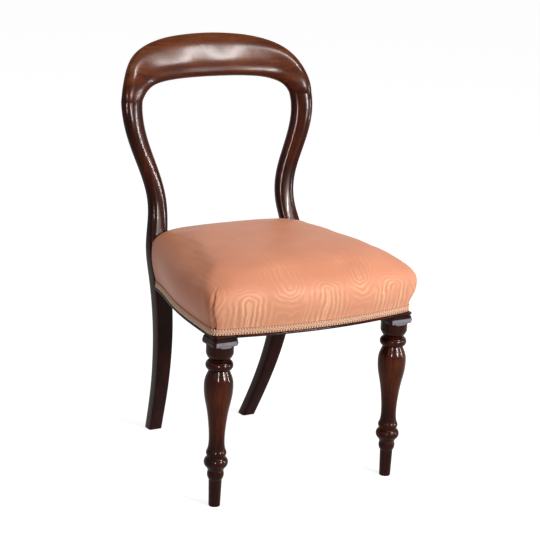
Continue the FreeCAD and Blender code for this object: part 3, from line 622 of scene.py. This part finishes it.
def fill_cushion(piece, pressure, frames, most):
    """Cloth with pressure: no point moves inwards or further than most.

    The foot stays, and so does the cloth beside the back posts.
    """
    rest = [v.co.copy() for v in piece.data.vertices]
    held = piece.vertex_groups.new(name="held")
    for v in piece.data.vertices:
        height = v.co.z - BRAID_TOP
        back = v.co.y - LEG_Y
        hold = 1.0 - clamped(height / HOLD_RISE)
        if abs(v.co.x) > POST_HOLD_OUT:
            hold = max(hold, clamped((back - POST_HOLD_BACK) / POST_HOLD_RUN))
        if hold > 0:
            held.add([v.index], hold, "REPLACE")
    cloth = piece.modifiers.new("cloth", "CLOTH")
    settings = cloth.settings
    settings.use_pressure = True
    settings.uniform_pressure_force = pressure
    settings.tension_stiffness = settings.compression_stiffness = 30
    settings.bending_stiffness = 3
    settings.vertex_group_mass = "held"
    settings.effector_weights.gravity = 0
    cloth.point_cache.frame_start, cloth.point_cache.frame_end = 1, frames
    for number in range(1, frames + 1):
        scene.frame_set(number)
    baked(piece)
    scene.frame_set(1)
    moves = []
    for v, start in zip(piece.data.vertices, rest):
        move = v.co - start
        move -= v.normal * min(0.0, move.dot(v.normal))
        moves.append(move * min(1.0, most / max(move.length, 1e-9)))
    moves = evened_out(piece.data, moves, EVENING_ROUNDS)
    for v, start, move in zip(piece.data.vertices, rest, moves):
        v.co = start + move
    return max(move.length for move in moves)


moved = fill_cushion(cushion, pressure=4.0, frames=20, most=0.010)
print("the filling moved the cover by up to", round(moved * 1000, 1), "mm")
finer = cushion.modifiers.new("finer", "SUBSURF")
finer.levels = 1
baked(cushion)


# %% [markdown]
# At each front corner the cover is folded: the front's cloth lies over the side's, so a
# sharp upright crease runs from the braid to the roll, and behind it small gathers fan
# out from the tacks. The remesh would erase these, so they are made now, on points that
# are first made finer near the corner.

# %% Finer points near the corners
CORNER_OUT, CORNER_DEEP, CORNER_HIGH = 0.17, 0.04, 0.47


def in_corner(v):
    return abs(v.co.x) > CORNER_OUT and v.co.y - LEG_Y < CORNER_DEEP and v.co.z < CORNER_HIGH


def refine_corners(piece, times):
    mesh = bmesh.new()
    mesh.from_mesh(piece.data)
    for _ in range(times):
        near = [e for e in mesh.edges if all(in_corner(v) for v in e.verts)]
        bmesh.ops.subdivide_edges(mesh, edges=near, cuts=1, smooth=0.0, use_grid_fill=True)
    bmesh.ops.triangulate(mesh, faces=[f for f in mesh.faces if len(f.verts) > 4])
    mesh.to_mesh(piece.data)
    mesh.free()


# %% Corner folds
CREASE_FOOT, CREASE_TOP = BRAID_TOP + 0.001, 0.452
FOLD_OUT, FOLD_BACK, FOLD_LOW, FOLD_HIGH = 0.16, 0.09, -0.2, 1.3
CORNER_CENTRE_OUT, CORNER_CENTRE_BACK, CORNER_RADIUS = 0.213, -0.002, 0.026


def crease_step(reach):
    """The front's cloth stands out at the crease; the side's is drawn in, then swells."""
    if reach > 0:
        return 0.0016 * math.exp(-reach / 0.012)
    drawn_in = 0.0030 * math.exp(reach / 0.0035)
    return 0.0010 * math.exp(-((reach + 0.009) / 0.004)**2) - drawn_in


def gathers(back, height, rise):
    """Leaning waves behind the crease, 8.5 mm apart, that die out upwards and backwards."""
    run = back + 0.02
    low = max(0.0, 1.0 - max(rise, 0.0) / (0.55 - 3.0 * max(0.0, run)))
    near = math.exp(-max(0.0, run) / 0.03)
    lean = run + 0.25 * (height - CREASE_FOOT)
    return 0.0013 * low * near * math.sin(lean * 2 * math.pi / 0.0085)


def fold_corners(piece):
    """Pushes points in or out along their normals. Rise runs from 0 to 1 up the crease."""
    moves = []
    for v in piece.data.vertices:
        side, back, height = abs(v.co.x), v.co.y - LEG_Y, v.co.z
        rise = (height - CREASE_FOOT) / (CREASE_TOP - CREASE_FOOT)
        if side < FOLD_OUT or back > FOLD_BACK or rise < FOLD_LOW or rise > FOLD_HIGH:
            continue
        turn = math.atan2(-(back - CORNER_CENTRE_BACK), side - CORNER_CENTRE_OUT)
        crease = math.radians(54 - 8 * rise + 2.5 * math.sin(9 * rise))
        reach = CORNER_RADIUS * (turn - crease)
        fade = clamped((1.18 - rise) / 0.4) * clamped((rise + 0.2) / 0.2)
        out = crease_step(reach) + (gathers(back, height, rise) if reach < 0 else 0.0)
        moves.append((v, v.normal.copy(), out * fade))
    for v, normal, out in moves:
        v.co += normal * out


refine_corners(cushion, 2)
fold_corners(cushion)
print("corner folds made on", len(cushion.data.vertices), "points")


# %% Cutting room for posts and frame
POST_FOOT, POST_STEP, POST_ROWS, POST_SLICE = 0.345, 0.02, 9, 0.012
POST_GAP = 0.0005
BEYOND_SIDE, BEYOND_BACK, BEYOND_FOOT = 0.3, 0.4, 0.30
FRAME_TOP = 0.3996


def block_from_rings(name, rings):
    """Closed solid through rings of points, all with the same count."""
    points = [p for ring in rings for p in ring]
    return piece_from(name, points, solid_faces(len(rings), len(rings[0])), None, smooth=False)


def post_line(side):
    """Height, inner side and front of a back post at some heights, read from its solid."""
    points = [v.co for v in nodes[POSTS[1] if side > 0 else POSTS[0]].data.vertices]
    line = []
    for k in range(POST_ROWS):
        height = POST_FOOT + k * POST_STEP
        near = [p for p in points if abs(p.z - height) < POST_SLICE]
        line.append((height, min(abs(p.x) for p in near), min(p.y for p in near)))
    return line


def cut_out(piece, cutter):
    difference = piece.modifiers.new("cut", "BOOLEAN")
    difference.operation, difference.solver = "DIFFERENCE", "EXACT"
    difference.object = cutter
    baked(piece)
    bpy.data.objects.remove(cutter)


def level_block(name, loop, top):
    return block_from_rings(name, [[(x, y, z) for x, y in loop] for z in (BEYOND_FOOT, top)])


for side in (1, -1):
    rings = []
    for height, inside, front in post_line(side):
        inside, front = (inside - POST_GAP) * side, front - POST_GAP
        outside = BEYOND_SIDE * side
        ring = [(inside, front), (outside, front), (outside, BEYOND_BACK), (inside, BEYOND_BACK)]
        rings.append([(x, y, height) for x, y in (ring if side > 0 else reversed(ring))])
    cut_out(cushion, block_from_rings("post_room", rings))

frame_loop = [(p.x, p.y + LEG_Y) for p in closed_spline(outline_poles(0.0004), 5)]
cut_out(cushion, level_block("frame_room", frame_loop, FRAME_TOP))
whole_loop = [(x * 1.2, (y - LEG_Y) * 1.2 + LEG_Y) for x, y in frame_loop]
cut_out(cushion, level_block("foot_room", whole_loop, BRAID_FOOT + 0.0005))
print("cushion has", len(cushion.data.vertices), "points")


# %% Room for the hessian
# Front and rear edge behind the leg axis, and half the width at the front and the rear.
HESSIAN_FOOT = (0.004, 0.336, 0.196, 0.144)
HESSIAN_TOP = (0.028, 0.312, 0.168, 0.138)
HESSIAN_UNDER, HESSIAN_GAP, HESSIAN_CORNER = 0.4316, 0.0018, 0.024


def hessian_ring(plan, height, grow):
    front, rear, wide, narrow = plan
    a, b, low, high = wide + grow, narrow + grow, front - grow, rear + grow
    cut = HESSIAN_CORNER
    right = [(a - cut, low), (a, low + cut), (b, high - cut), (b - cut, high)]
    loop = right + [(-x, y) for x, y in reversed(right)]
    return [(x, y + LEG_Y, height) for x, y in loop]


cut_out(cushion, block_from_rings("hessian_room", [
    hessian_ring(HESSIAN_FOOT, FRAME_TOP - 0.0096, HESSIAN_GAP),
    hessian_ring(HESSIAN_FOOT, FRAME_TOP + 0.0014, HESSIAN_GAP),
    hessian_ring(HESSIAN_TOP, HESSIAN_UNDER + 0.002, HESSIAN_GAP),
]))
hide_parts("seat_cover", "cotton_wadding", "hair_stuffing")
print("cushion cut to", len(cushion.data.vertices), "points")


# %% [markdown]
# ## Watered silk
# The moire figure of watered silk is a set of contour lines: nested arches that point up,
# nested cups that point down, side by side, joined by upright wavy lines. The distance
# from an upright ray gives an arch: above the ray's end it makes circles, and beside the
# ray straight lines. Rays that go down and rays that go up take turns across the cloth,
# and the nearer one draws the line. Noises unsettle it, as rollers do on real silk.

# %% Watered silk group
FIGURE_WIDTH, FIGURE_MIDDLE = 0.168, 0.002
ARCH_HEIGHT, CUP_HEIGHT, LINE_SPACING, RIB_SPACING = 0.165, 0.195, 0.0112, 0.0009


def make_watered_silk():
    tree, given, result = group_tree(
        "watered_silk", [("Across", "Float", 0.0), ("Along", "Float", 0.0)],
        [("Light", "Float"), ("Dark", "Float"), ("Rib", "Float")])
    calc = partial(math_node, tree)
    across, along = given.outputs["Across"], given.outputs["Along"]
    spot = add(tree, "ShaderNodeCombineXYZ")
    feed(spot, X=across, Y=along)

    def wander(scale, stretch, seed, detail=2.0):
        """Noise about zero on the plane of the cloth."""
        mapping = add(tree, "ShaderNodeMapping")
        feed(mapping, Vector=spot.outputs[0], Scale=stretch, Location=(seed, seed * 0.7, 0))
        return calc("SUBTRACT", noise_value(tree, scale, detail, mapping.outputs[0]), 0.5)

    def length(a, b):
        return calc("SQRT", calc("ADD", calc("MULTIPLY", a, a), calc("MULTIPLY", b, b)))

    drift = wander(16, (1, 1, 1), 3.1)
    ripple = wander(70, (1, 0.8, 1), 7.7)
    jag = wander(500, (0.25, 1.6, 1), 5.2, 1.0)
    aslant = weighted_sum(tree, (drift, 0.020), (ripple, 0.0065), (jag, 0.0040))
    shifted = calc("ADD", across, aslant)
    lifted = calc("ADD", along, weighted_sum(tree, (ripple, 0.009), (drift, -0.040)))
    turn = calc("DIVIDE", calc("SUBTRACT", shifted, FIGURE_MIDDLE), FIGURE_WIDTH)
    aside = calc("FRACT", calc("ADD", turn, 0.5))
    aside = calc("MULTIPLY", calc("ABSOLUTE", calc("SUBTRACT", aside, 0.5)), FIGURE_WIDTH)
    beside = calc("SUBTRACT", FIGURE_WIDTH / 2, aside)
    over = calc("MAXIMUM", calc("SUBTRACT", lifted, ARCH_HEIGHT), 0.0)
    under = calc("MAXIMUM", calc("SUBTRACT", CUP_HEIGHT, lifted), 0.0)
    near = calc("SMOOTH_MIN", length(aside, over), length(beside, under), third=0.012)
    swing = calc("SINE", calc("MULTIPLY", calc("DIVIDE", near, LINE_SPACING), 2 * math.pi))
    patch = wander(30, (1.0, 0.7, 1), 12.3, 3.0)
    strength = calc("ADD", calc("MULTIPLY", patch, 3.4), 0.62, clamp=True)
    middle = calc("SUBTRACT", 1.35, calc("MULTIPLY", near, 26.0), clamp=True)
    strength = calc("MULTIPLY", strength, calc("ADD", calc("MULTIPLY", middle, 0.8), 0.2))
    high = calc("POWER", calc("MAXIMUM", swing, 0.0), 1.3)
    low = calc("POWER", calc("MAXIMUM", calc("MULTIPLY", swing, -1.0), 0.0), 3.0)
    feed(result, Light=calc("MULTIPLY", high, strength), Dark=calc("MULTIPLY", low, strength),
         Rib=calc("SINE", calc("MULTIPLY", along, 2 * math.pi / RIB_SPACING)))
    return tree


WATERED_SILK = make_watered_silk()


# %% [markdown]
# The figure is strongest on the front face, where the cloth hangs flat to the light, and
# only a trace of it shows on the top and the sides, so the surface's own normal fades it.

# %% Silk material
PEACH_LOW, PEACH_HIGH = (0.60, 0.228, 0.126), (0.66, 0.262, 0.150)
# A paler peach for painted sheen and a deeper peach for painted shade.
PAINTED_SHEEN_PEACH, PAINTED_SHADE_PEACH = (0.84, 0.46, 0.30), (0.52, 0.165, 0.085)
SILK_LIGHT, SILK_DARK = (0.90, 0.54, 0.30), (0.40, 0.155, 0.085)


def silk_material():
    material, tree, shader = new_material("peach_watered_silk")
    calc, place = partial(math_node, tree), object_place(tree)
    across, back, height = split(tree, place)
    normal = surface_normal(tree)
    sideways = calc("MULTIPLY", normal[0], normal[0])
    upward = calc("MAXIMUM", normal[2], 0.0)
    not_side = calc("SUBTRACT", 1.0, calc("MULTIPLY", sideways, 1.1), clamp=True)
    not_top = calc("SUBTRACT", 1.0, calc("MULTIPLY", upward, 0.93), clamp=True)
    clear = calc("MULTIPLY", not_side, not_top)
    ground = ramp(tree, noise_value(tree, 14, 4, place), [(0.3, PEACH_LOW), (0.7, PEACH_HIGH)])
    # Painted light and shade by direction: faces that look forward or back are painted paler, as a
    # painted sheen, and the sides darker, as painted shade.
    ground = mix_colour(tree, calc("MULTIPLY", clear, 0.22), ground, PAINTED_SHEEN_PEACH)
    ground = mix_colour(tree, calc("MULTIPLY", sideways, 0.55), ground, PAINTED_SHADE_PEACH)
    silk = place_group(tree, WATERED_SILK, Across=across, Along=calc("ADD", back, height))
    light = calc("MULTIPLY", silk["Light"], clear)
    dark = calc("MULTIPLY", silk["Dark"], clear)
    colour = mix_colour(tree, calc("MULTIPLY", light, 0.85), ground, SILK_LIGHT)
    colour = mix_colour(tree, calc("MULTIPLY", dark, 0.5), colour, SILK_DARK)
    weave = calc("ADD", calc("MULTIPLY", silk["Rib"], 0.3), light)
    feed(shader, Base_Color=colour, Roughness=calc("ADD", calc("MULTIPLY", light, -0.12), 0.46),
         Normal=bump(tree, weave, 0.10, 0.0002), Specular_IOR_Level=0.16,
         Sheen_Weight=0.04, Sheen_Roughness=0.35, Sheen_Tint=(1.0, 0.72, 0.55))
    return material


cushion.data.materials.clear()
cushion.data.materials.append(silk_material())
print("watered silk on the cushion")

# %% [markdown]
# ## The gimp braid
# Gimp is a flat braid of cords on a woven ground. Two cream cords run round the seat in
# open loops, one along the upper edge and one along the lower, half a loop apart. Three
# straight salmon cords lie between them and along both edges. Each cord is a thin tube
# about its own centre line, and the loops stand off the cloth where they cross.

# %% Path of the braid
BRAID_OUT = 0.0027


def braid_path(offset, keep):
    """Points along the seat's outline where keep(point) is true, and their distances."""
    loop = [Vector((p.x, p.y + LEG_Y)) for p in closed_spline(outline_poles(offset), 16)]
    start = next(k for k in range(len(loop)) if keep(loop[k]) and not keep(loop[k - 1]))
    run = []
    for k in range(len(loop)):
        point = loop[(start + k) % len(loop)]
        if not keep(point):
            break
        run.append(point)
    lengths = [0.0]
    for a, b in zip(run, run[1:]):
        lengths.append(lengths[-1] + (b - a).length)
    return run, lengths


def even_spots(run, lengths, step):
    """Place, outward way and distance at even steps along the run."""
    total = lengths[-1]
    count = int(total / step)
    k, spots = 0, []
    for n in range(count + 1):
        distance = total * n / count
        while k < len(lengths) - 2 and lengths[k + 1] < distance:
            k += 1
        t = (distance - lengths[k]) / (lengths[k + 1] - lengths[k])
        way = (run[k + 1] - run[k]).normalized()
        spots.append((run[k].lerp(run[k + 1], t), Vector((way.y, -way.x)), distance))
    return spots


# %% Cords of the braid
CORD_SIDES, CORD_STEP = 6, 0.00035
LOOP_LENGTH, LOOP_REACH, LOOP_SWAY, LOOP_APART = 0.0058, 0.0024, 0.0021, 0.0033
BRAID_MIDDLE = (BRAID_TOP + BRAID_FOOT) / 2


def braid_cords(name, run, lengths, cords):
    """Tubes along the run. A cord gives height, depth, radius and sway at a distance."""
    points, faces = [], []
    spots = even_spots(run, lengths, CORD_STEP)
    for cord in cords:
        line, first = [], len(points)
        for spot, outward, distance in spots:
            height, depth, radius, sway = cord(distance)
            flat = spot + outward * depth + Vector((-outward.y, outward.x)) * sway
            line.append((Vector((flat.x, flat.y, height)), Vector((*outward, 0)), radius))
        for n, (centre, outward, radius) in enumerate(line):
            ahead = line[min(n + 1, len(line) - 1)][0] - line[max(n - 1, 0)][0]
            ahead.normalize()
            cross = ahead.cross(outward).normalized()
            lift = cross.cross(ahead)
            for s in range(CORD_SIDES):
                angle = 2 * math.pi * s / CORD_SIDES
                points.append(centre + (cross * math.cos(angle) + lift * math.sin(angle)) * radius)
        faces += [tuple(first + i for i in quad) for quad in ring_faces(len(line), CORD_SIDES)]
    return piece_from(name, points, faces, "gimp_braid")


def swinging(start, radius, middle, sway):
    """A cord that runs in open loops: the sway takes it back and forth along its way."""
    def cord(distance):
        turn = 2 * math.pi * (distance / LOOP_LENGTH + start)
        height = middle + LOOP_REACH * math.sin(turn)
        return height, 0.0006 * math.cos(turn), radius, sway * math.cos(turn)
    return cord


def running(height, radius):
    def cord(distance):
        return height, 0.0002 * math.sin(distance * 2400), radius, 0.0
    return cord


CORDS_LIGHT = [
    swinging(0.0, 0.00085, BRAID_MIDDLE + LOOP_APART, LOOP_SWAY),
    swinging(0.5, 0.00085, BRAID_MIDDLE - LOOP_APART, -LOOP_SWAY),
]
CORDS_DARK = [running(BRAID_MIDDLE, 0.0008), running(BRAID_TOP - 0.0003, 0.0005),
              running(BRAID_FOOT + 0.0003, 0.0005)]


# %% Cord material
def make_cord_twist():
    tree, _, result = group_tree("cord_twist", [], [("Twist", "Float")])
    twist = add(tree, "ShaderNodeTexWave")
    feed(twist, Vector=object_place(tree), Scale=420, Distortion=3)
    feed(result, Twist=twist.outputs["Fac"])
    return tree


CORD_TWIST = make_cord_twist()


def cord_material(name, light, dark):
    material, tree, shader = new_material(name)
    twist = place_group(tree, CORD_TWIST)["Twist"]
    feed(shader, Base_Color=ramp(tree, twist, [(0.2, dark), (0.8, light)]), Roughness=0.55,
         Normal=bump(tree, twist, 0.3, 0.0002), Sheen_Weight=0.3, Sheen_Roughness=0.4)
    return material


CREAM_CORD = cord_material("cream_cord", (0.88, 0.63, 0.44), (0.72, 0.44, 0.27))
SALMON_CORD = cord_material("salmon_cord", (0.46, 0.19, 0.11), (0.28, 0.10, 0.055))


# %% Band behind the cords
def braid_band(name, run):
    """Thin woven ground that carries the cords."""
    points, faces = [], []
    rows = [(BRAID_FOOT + 0.0004, 0.0), (BRAID_FOOT + 0.0014, 0.0006),
            (BRAID_TOP - 0.0014, 0.0006), (BRAID_TOP - 0.0004, 0.0)]
    for k, spot in enumerate(run):
        way = (run[min(k + 1, len(run) - 1)] - run[max(k - 1, 0)]).normalized()
        outward = Vector((way.y, -way.x))
        for height, depth in rows:
            flat = spot + outward * (depth - 0.0008)
            points.append((flat.x, flat.y, height))
        if k:
            for r in range(len(rows) - 1):
                a = (k - 1) * len(rows) + r
                faces.append((a, a + len(rows), a + len(rows) + 1, a + 1))
    return piece_from(name, points, faces, "gimp_braid")


post_reach = {side: post_line(side)[1] for side in (1, -1)}


def before_posts(point):
    return point.y < min(post_reach[1][2], post_reach[-1][2]) - 0.001


def between_posts(point):
    return point.y > REAR_BACK + LEG_Y - 0.004 and abs(point.x) < post_reach[1][1] - 0.001


for place, keep in (("front", before_posts), ("back", between_posts)):
    run, lengths = braid_path(BRAID_OUT, keep)
    light = braid_cords("braid_cream_" + place, run, lengths, CORDS_LIGHT)
    light.data.materials.append(CREAM_CORD)
    dark = braid_cords("braid_salmon_" + place, run, lengths, CORDS_DARK)
    dark.data.materials.append(SALMON_CORD)
    band = braid_band("braid_ground_" + place, run)
    band.data.materials.append(SALMON_CORD)
    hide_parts("gimp_braid_" + place)
    print("braid", place, round(lengths[-1], 3), "m")

# %% [markdown]
# ## Under the seat
# From below one sees woven jute strips over and under each other, and the hessian over
# the springs. The strips are ribbons that follow the solid's folds; the hessian is a sheet
# pulled down at its edges and tacked to the rails, and raised over the springs.


# %% Jute and hessian materials
def make_plain_weave():
    """Threads is 2 pi over the width of a thread. Mixed is Cross with loose fibres."""
    tree, given, result = group_tree(
        "plain_weave", [("Threads", "Float", 2000.0)], [("Cross", "Float"), ("Mixed", "Float")])
    calc, place = partial(math_node, tree), object_place(tree)
    x, y, _ = split(tree, place)
    warp, weft = (calc("SINE", calc("MULTIPLY", value, given.outputs[0])) for value in (x, y))
    cross = calc("MULTIPLY_ADD", calc("MULTIPLY", warp, weft), 0.5, third=0.5)
    fibres = calc("ADD", noise_value(tree, 300, 4, place), 0.5)
    feed(result, Cross=cross, Mixed=calc("MULTIPLY", cross, fibres))
    return tree


PLAIN_WEAVE = make_plain_weave()


def woven(name, light, dark, thread):
    material, tree, shader = new_material(name)
    weave = place_group(tree, PLAIN_WEAVE, Threads=2 * math.pi / thread)
    feed(shader, Base_Color=ramp(tree, weave["Mixed"], [(0.15, dark), (0.75, light)]),
         Roughness=0.9, Normal=bump(tree, weave["Cross"], 0.6, 0.0004))
    return material


JUTE = woven("jute_webbing", (0.50, 0.36, 0.20), (0.24, 0.15, 0.07), 0.0032)
HESSIAN = woven("hessian_cloth", (0.40, 0.27, 0.14), (0.15, 0.09, 0.04), 0.0024)


# %% Webbing strips
WEB_WIDTH, WEB_THICK, RAIL_FOOT = 0.050, 0.0015, 0.357
WEB_LEVEL, WEB_STEPS, WEB_ROUND = 0.028, 8, 0.0006
LONG_PLACES, CROSS_PLACES = (-0.092, 0.0, 0.092), (0.082, 0.166, 0.250)


def webbing_line(start, end, crossings, above):
    """Distance and height along a strip: level at each crossing, smooth in between."""
    up = RAIL_FOOT - WEB_THICK / 2 - 0.0001
    down = up - WEB_THICK - 0.0004
    corners = [(start, up)]
    for crossing, over in zip(crossings, above):
        level = up if over else down
        corners += [(crossing - WEB_LEVEL, level), (crossing + WEB_LEVEL, level)]
    corners.append((end, up))
    line = []
    for (s0, z0), (s1, z1) in zip(corners, corners[1:]):
        for k in range(WEB_STEPS):
            t = k / WEB_STEPS
            line.append((s0 + (s1 - s0) * t, z0 + (z1 - z0) * (3 * t**2 - 2 * t**3)))
    return line + [corners[-1]]


def webbing_ribbon(name, crossings, above, lengthwise):
    low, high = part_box(name)
    start, end = (low.y, high.y) if lengthwise else (low.x, high.x)
    side = (low.x + high.x) / 2 if lengthwise else (low.y + high.y) / 2
    half, edge, near = WEB_WIDTH / 2, WEB_THICK / 2 * 0.8, WEB_WIDTH / 2 - WEB_ROUND
    section = [(-half, 0), (-near, edge), (-half * 0.5, edge), (0, edge), (half * 0.5, edge),
               (near, edge), (half, 0), (near, -edge), (0, -edge), (-near, -edge)]
    line, points = webbing_line(start, end, crossings, above), []
    for s, z in line:
        wander = 0.0006 * math.sin(s * 190 + side * 40)
        for across, lift in section:
            place = side + across + wander
            points.append((place, s, z + lift) if lengthwise else (s, place, z + lift))
    faces = ring_faces(len(line), len(section))
    if not lengthwise:
        faces = [quad[::-1] for quad in faces]
    faces += [tuple(range(len(section))), last_ring(len(line), len(section))]
    ribbon = piece_from(name + "_ribbon", points, faces, "webbing_jute")
    ribbon.data.materials.append(JUTE)
    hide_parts(name)


for i, name in enumerate(("left", "middle", "right")):
    webbing_ribbon("webbing_long_" + name, [LEG_Y + y for y in CROSS_PLACES],
                   [(i + j) % 2 == 0 for j in range(3)], True)
for j, name in enumerate(("front", "middle", "rear")):
    webbing_ribbon("webbing_cross_" + name, LONG_PLACES,
                   [(i + j) % 2 == 1 for i in range(3)], False)
print("six strips of webbing")


# %% Hessian sheet
SHEET_FOOT, SHEET_FLANGE, SHEET_THICK = FRAME_TOP + 0.0002, 0.011, 0.0007


def hessian_sheet():
    """Flange on the rails, slope over the springs, then smaller and smaller level rings."""
    rings = [hessian_ring(HESSIAN_FOOT, SHEET_FOOT, SHEET_FLANGE),
             hessian_ring(HESSIAN_FOOT, SHEET_FOOT, 0.001),
             hessian_ring(HESSIAN_TOP, HESSIAN_UNDER + 0.0006, 0.0008)]
    middle = (HESSIAN_TOP[0] + HESSIAN_TOP[1]) / 2 + LEG_Y
    for share in (0.8, 0.55, 0.3):
        rings.append([(x * share, middle + (y - middle) * share, z) for x, y, z in rings[2]])
    points = [p for ring in rings for p in ring]
    rows, count = len(rings), len(rings[0])
    faces = [*ring_faces(rows, count), last_ring(rows, count)]
    sheet = piece_from("hessian_sheet", points, faces, "hessian")
    finer = sheet.modifiers.new("finer", "SUBSURF")
    finer.subdivision_type, finer.levels = "SIMPLE", 3
    soft = sheet.modifiers.new("soft", "SMOOTH")
    soft.factor, soft.iterations = 0.5, 3
    thick = sheet.modifiers.new("thick", "SOLIDIFY")
    thick.thickness, thick.offset = SHEET_THICK, 0
    baked(sheet)
    sheet.data.materials.clear()
    sheet.data.materials.append(HESSIAN)
    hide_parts("spring_canvas")
    return sheet


hessian = hessian_sheet()
print("hessian laid")

# %% [markdown]
# ## Studio
# The room is a pale floor that keeps the chair's shadow, a white world for the camera and
# for reflections, and three broad soft lamps. Polish also mirrors windows. Four narrow lamps
# stand where the lights on the crest, the posts and the turnings point to. They are linked
# to the polished wood alone and only its reflections see them, so the wood gets its
# sparkle and the cloth isn't lit any harder.


# %% Floor
FLOOR_HALF, FLOOR_GLOW = 14, 0.8


def seen_directly(tree):
    """1 for the camera and for mirrored or clear views, 0 for the light of the room."""
    path = add(tree, "ShaderNodeLightPath").outputs
    seen = math_node(tree, "MAXIMUM", path["Is Camera Ray"], path["Is Glossy Ray"])
    return math_node(tree, "MAXIMUM", seen, path["Is Transmission Ray"])


def floor_material():
    material, tree, shader = new_material("pale_floor")
    feed(shader, Base_Color=(0.5, 0.5, 0.5), Roughness=0.9, Specular_IOR_Level=0.1)
    glow = add(tree, "ShaderNodeEmission")
    strength = math_node(tree, "MULTIPLY", seen_directly(tree), FLOOR_GLOW)
    feed(glow, Color=(1, 1, 1), Strength=strength)
    both = add(tree, "ShaderNodeAddShader")
    put(both.inputs[0], shader.outputs[0])
    put(both.inputs[1], glow.outputs[0])
    feed(tree.nodes["Material Output"], Surface=both.outputs[0])
    return material


def lay_floor():
    signs = ((-1, -1), (1, -1), (1, 1), (-1, 1))
    points = [(x * FLOOR_HALF, y * FLOOR_HALF, 0) for x, y in signs]
    floor = piece_from("floor", points, [(0, 1, 2, 3)], None, smooth=False)
    floor.data.materials.append(floor_material())


lay_floor()


# %% World
WORLD_LIGHT = 0.30


def white_world():
    world = bpy.data.worlds.new("studio_world")
    scene.world = world
    world.use_nodes = True
    tree = world.node_tree
    strength = math_node(tree, "MAXIMUM", seen_directly(tree), WORLD_LIGHT)
    feed(tree.nodes["Background"], Color=(1, 1, 1), Strength=strength)


white_world()


# %% Polished pieces
POLISHED = bpy.data.collections.new("polished_wood")
for name in POLISHED_NAMES:
    POLISHED.objects.link(nodes[name])


# %% Lamps
def soft_lamp(name, spot, turn, height, distance, width, tall, power, only_polish=False):
    """Area lamp aimed at a spot, in metres and watts.

    Turn is degrees to the right of the front, and height is degrees above the level.
    """
    lamp = bpy.data.lights.new(name, "AREA")
    lamp.shape, lamp.size, lamp.size_y = "RECTANGLE", width, tall
    lamp.energy = power
    holder = bpy.data.objects.new(name, lamp)
    scene.collection.objects.link(holder)
    turn, height = math.radians(turn), math.radians(height)
    level = math.cos(height)
    back = Vector((math.sin(turn) * level, -math.cos(turn) * level, math.sin(height)))
    holder.location = Vector(spot) + back * distance
    holder.rotation_mode = "QUATERNION"
    holder.rotation_quaternion = (-back).to_track_quat("-Z", "Y")
    if only_polish:
        holder.visible_diffuse = False
        holder.light_linking.receiver_collection = POLISHED
    return holder


MIDDLE, CREST_FACE = (0, 0, 0.5), (-0.03, LEG_Y + 0.455, 0.84)
soft_lamp("key", MIDDLE, 24, 20, 3.2, 1.3, 1.0, 92)
soft_lamp("fill_left", MIDDLE, -62, 26, 3.2, 1.0, 1.0, 5)
soft_lamp("ceiling", MIDDLE, 20, 72, 3.0, 1.6, 1.6, 24)
soft_lamp("light_on_crest", CREST_FACE, 42.5, 44, 6.0, 0.17, 1.3, 420, True)
soft_lamp("window_right", MIDDLE, 19, 17, 5.0, 0.26, 0.8, 250, True)
soft_lamp("window_left", MIDDLE, -33, 19, 5.0, 0.22, 0.8, 190, True)
soft_lamp("light_along_post", MIDDLE, 58, 6, 4.0, 0.12, 1.0, 120, True)

scene.view_settings.view_transform = "Standard"
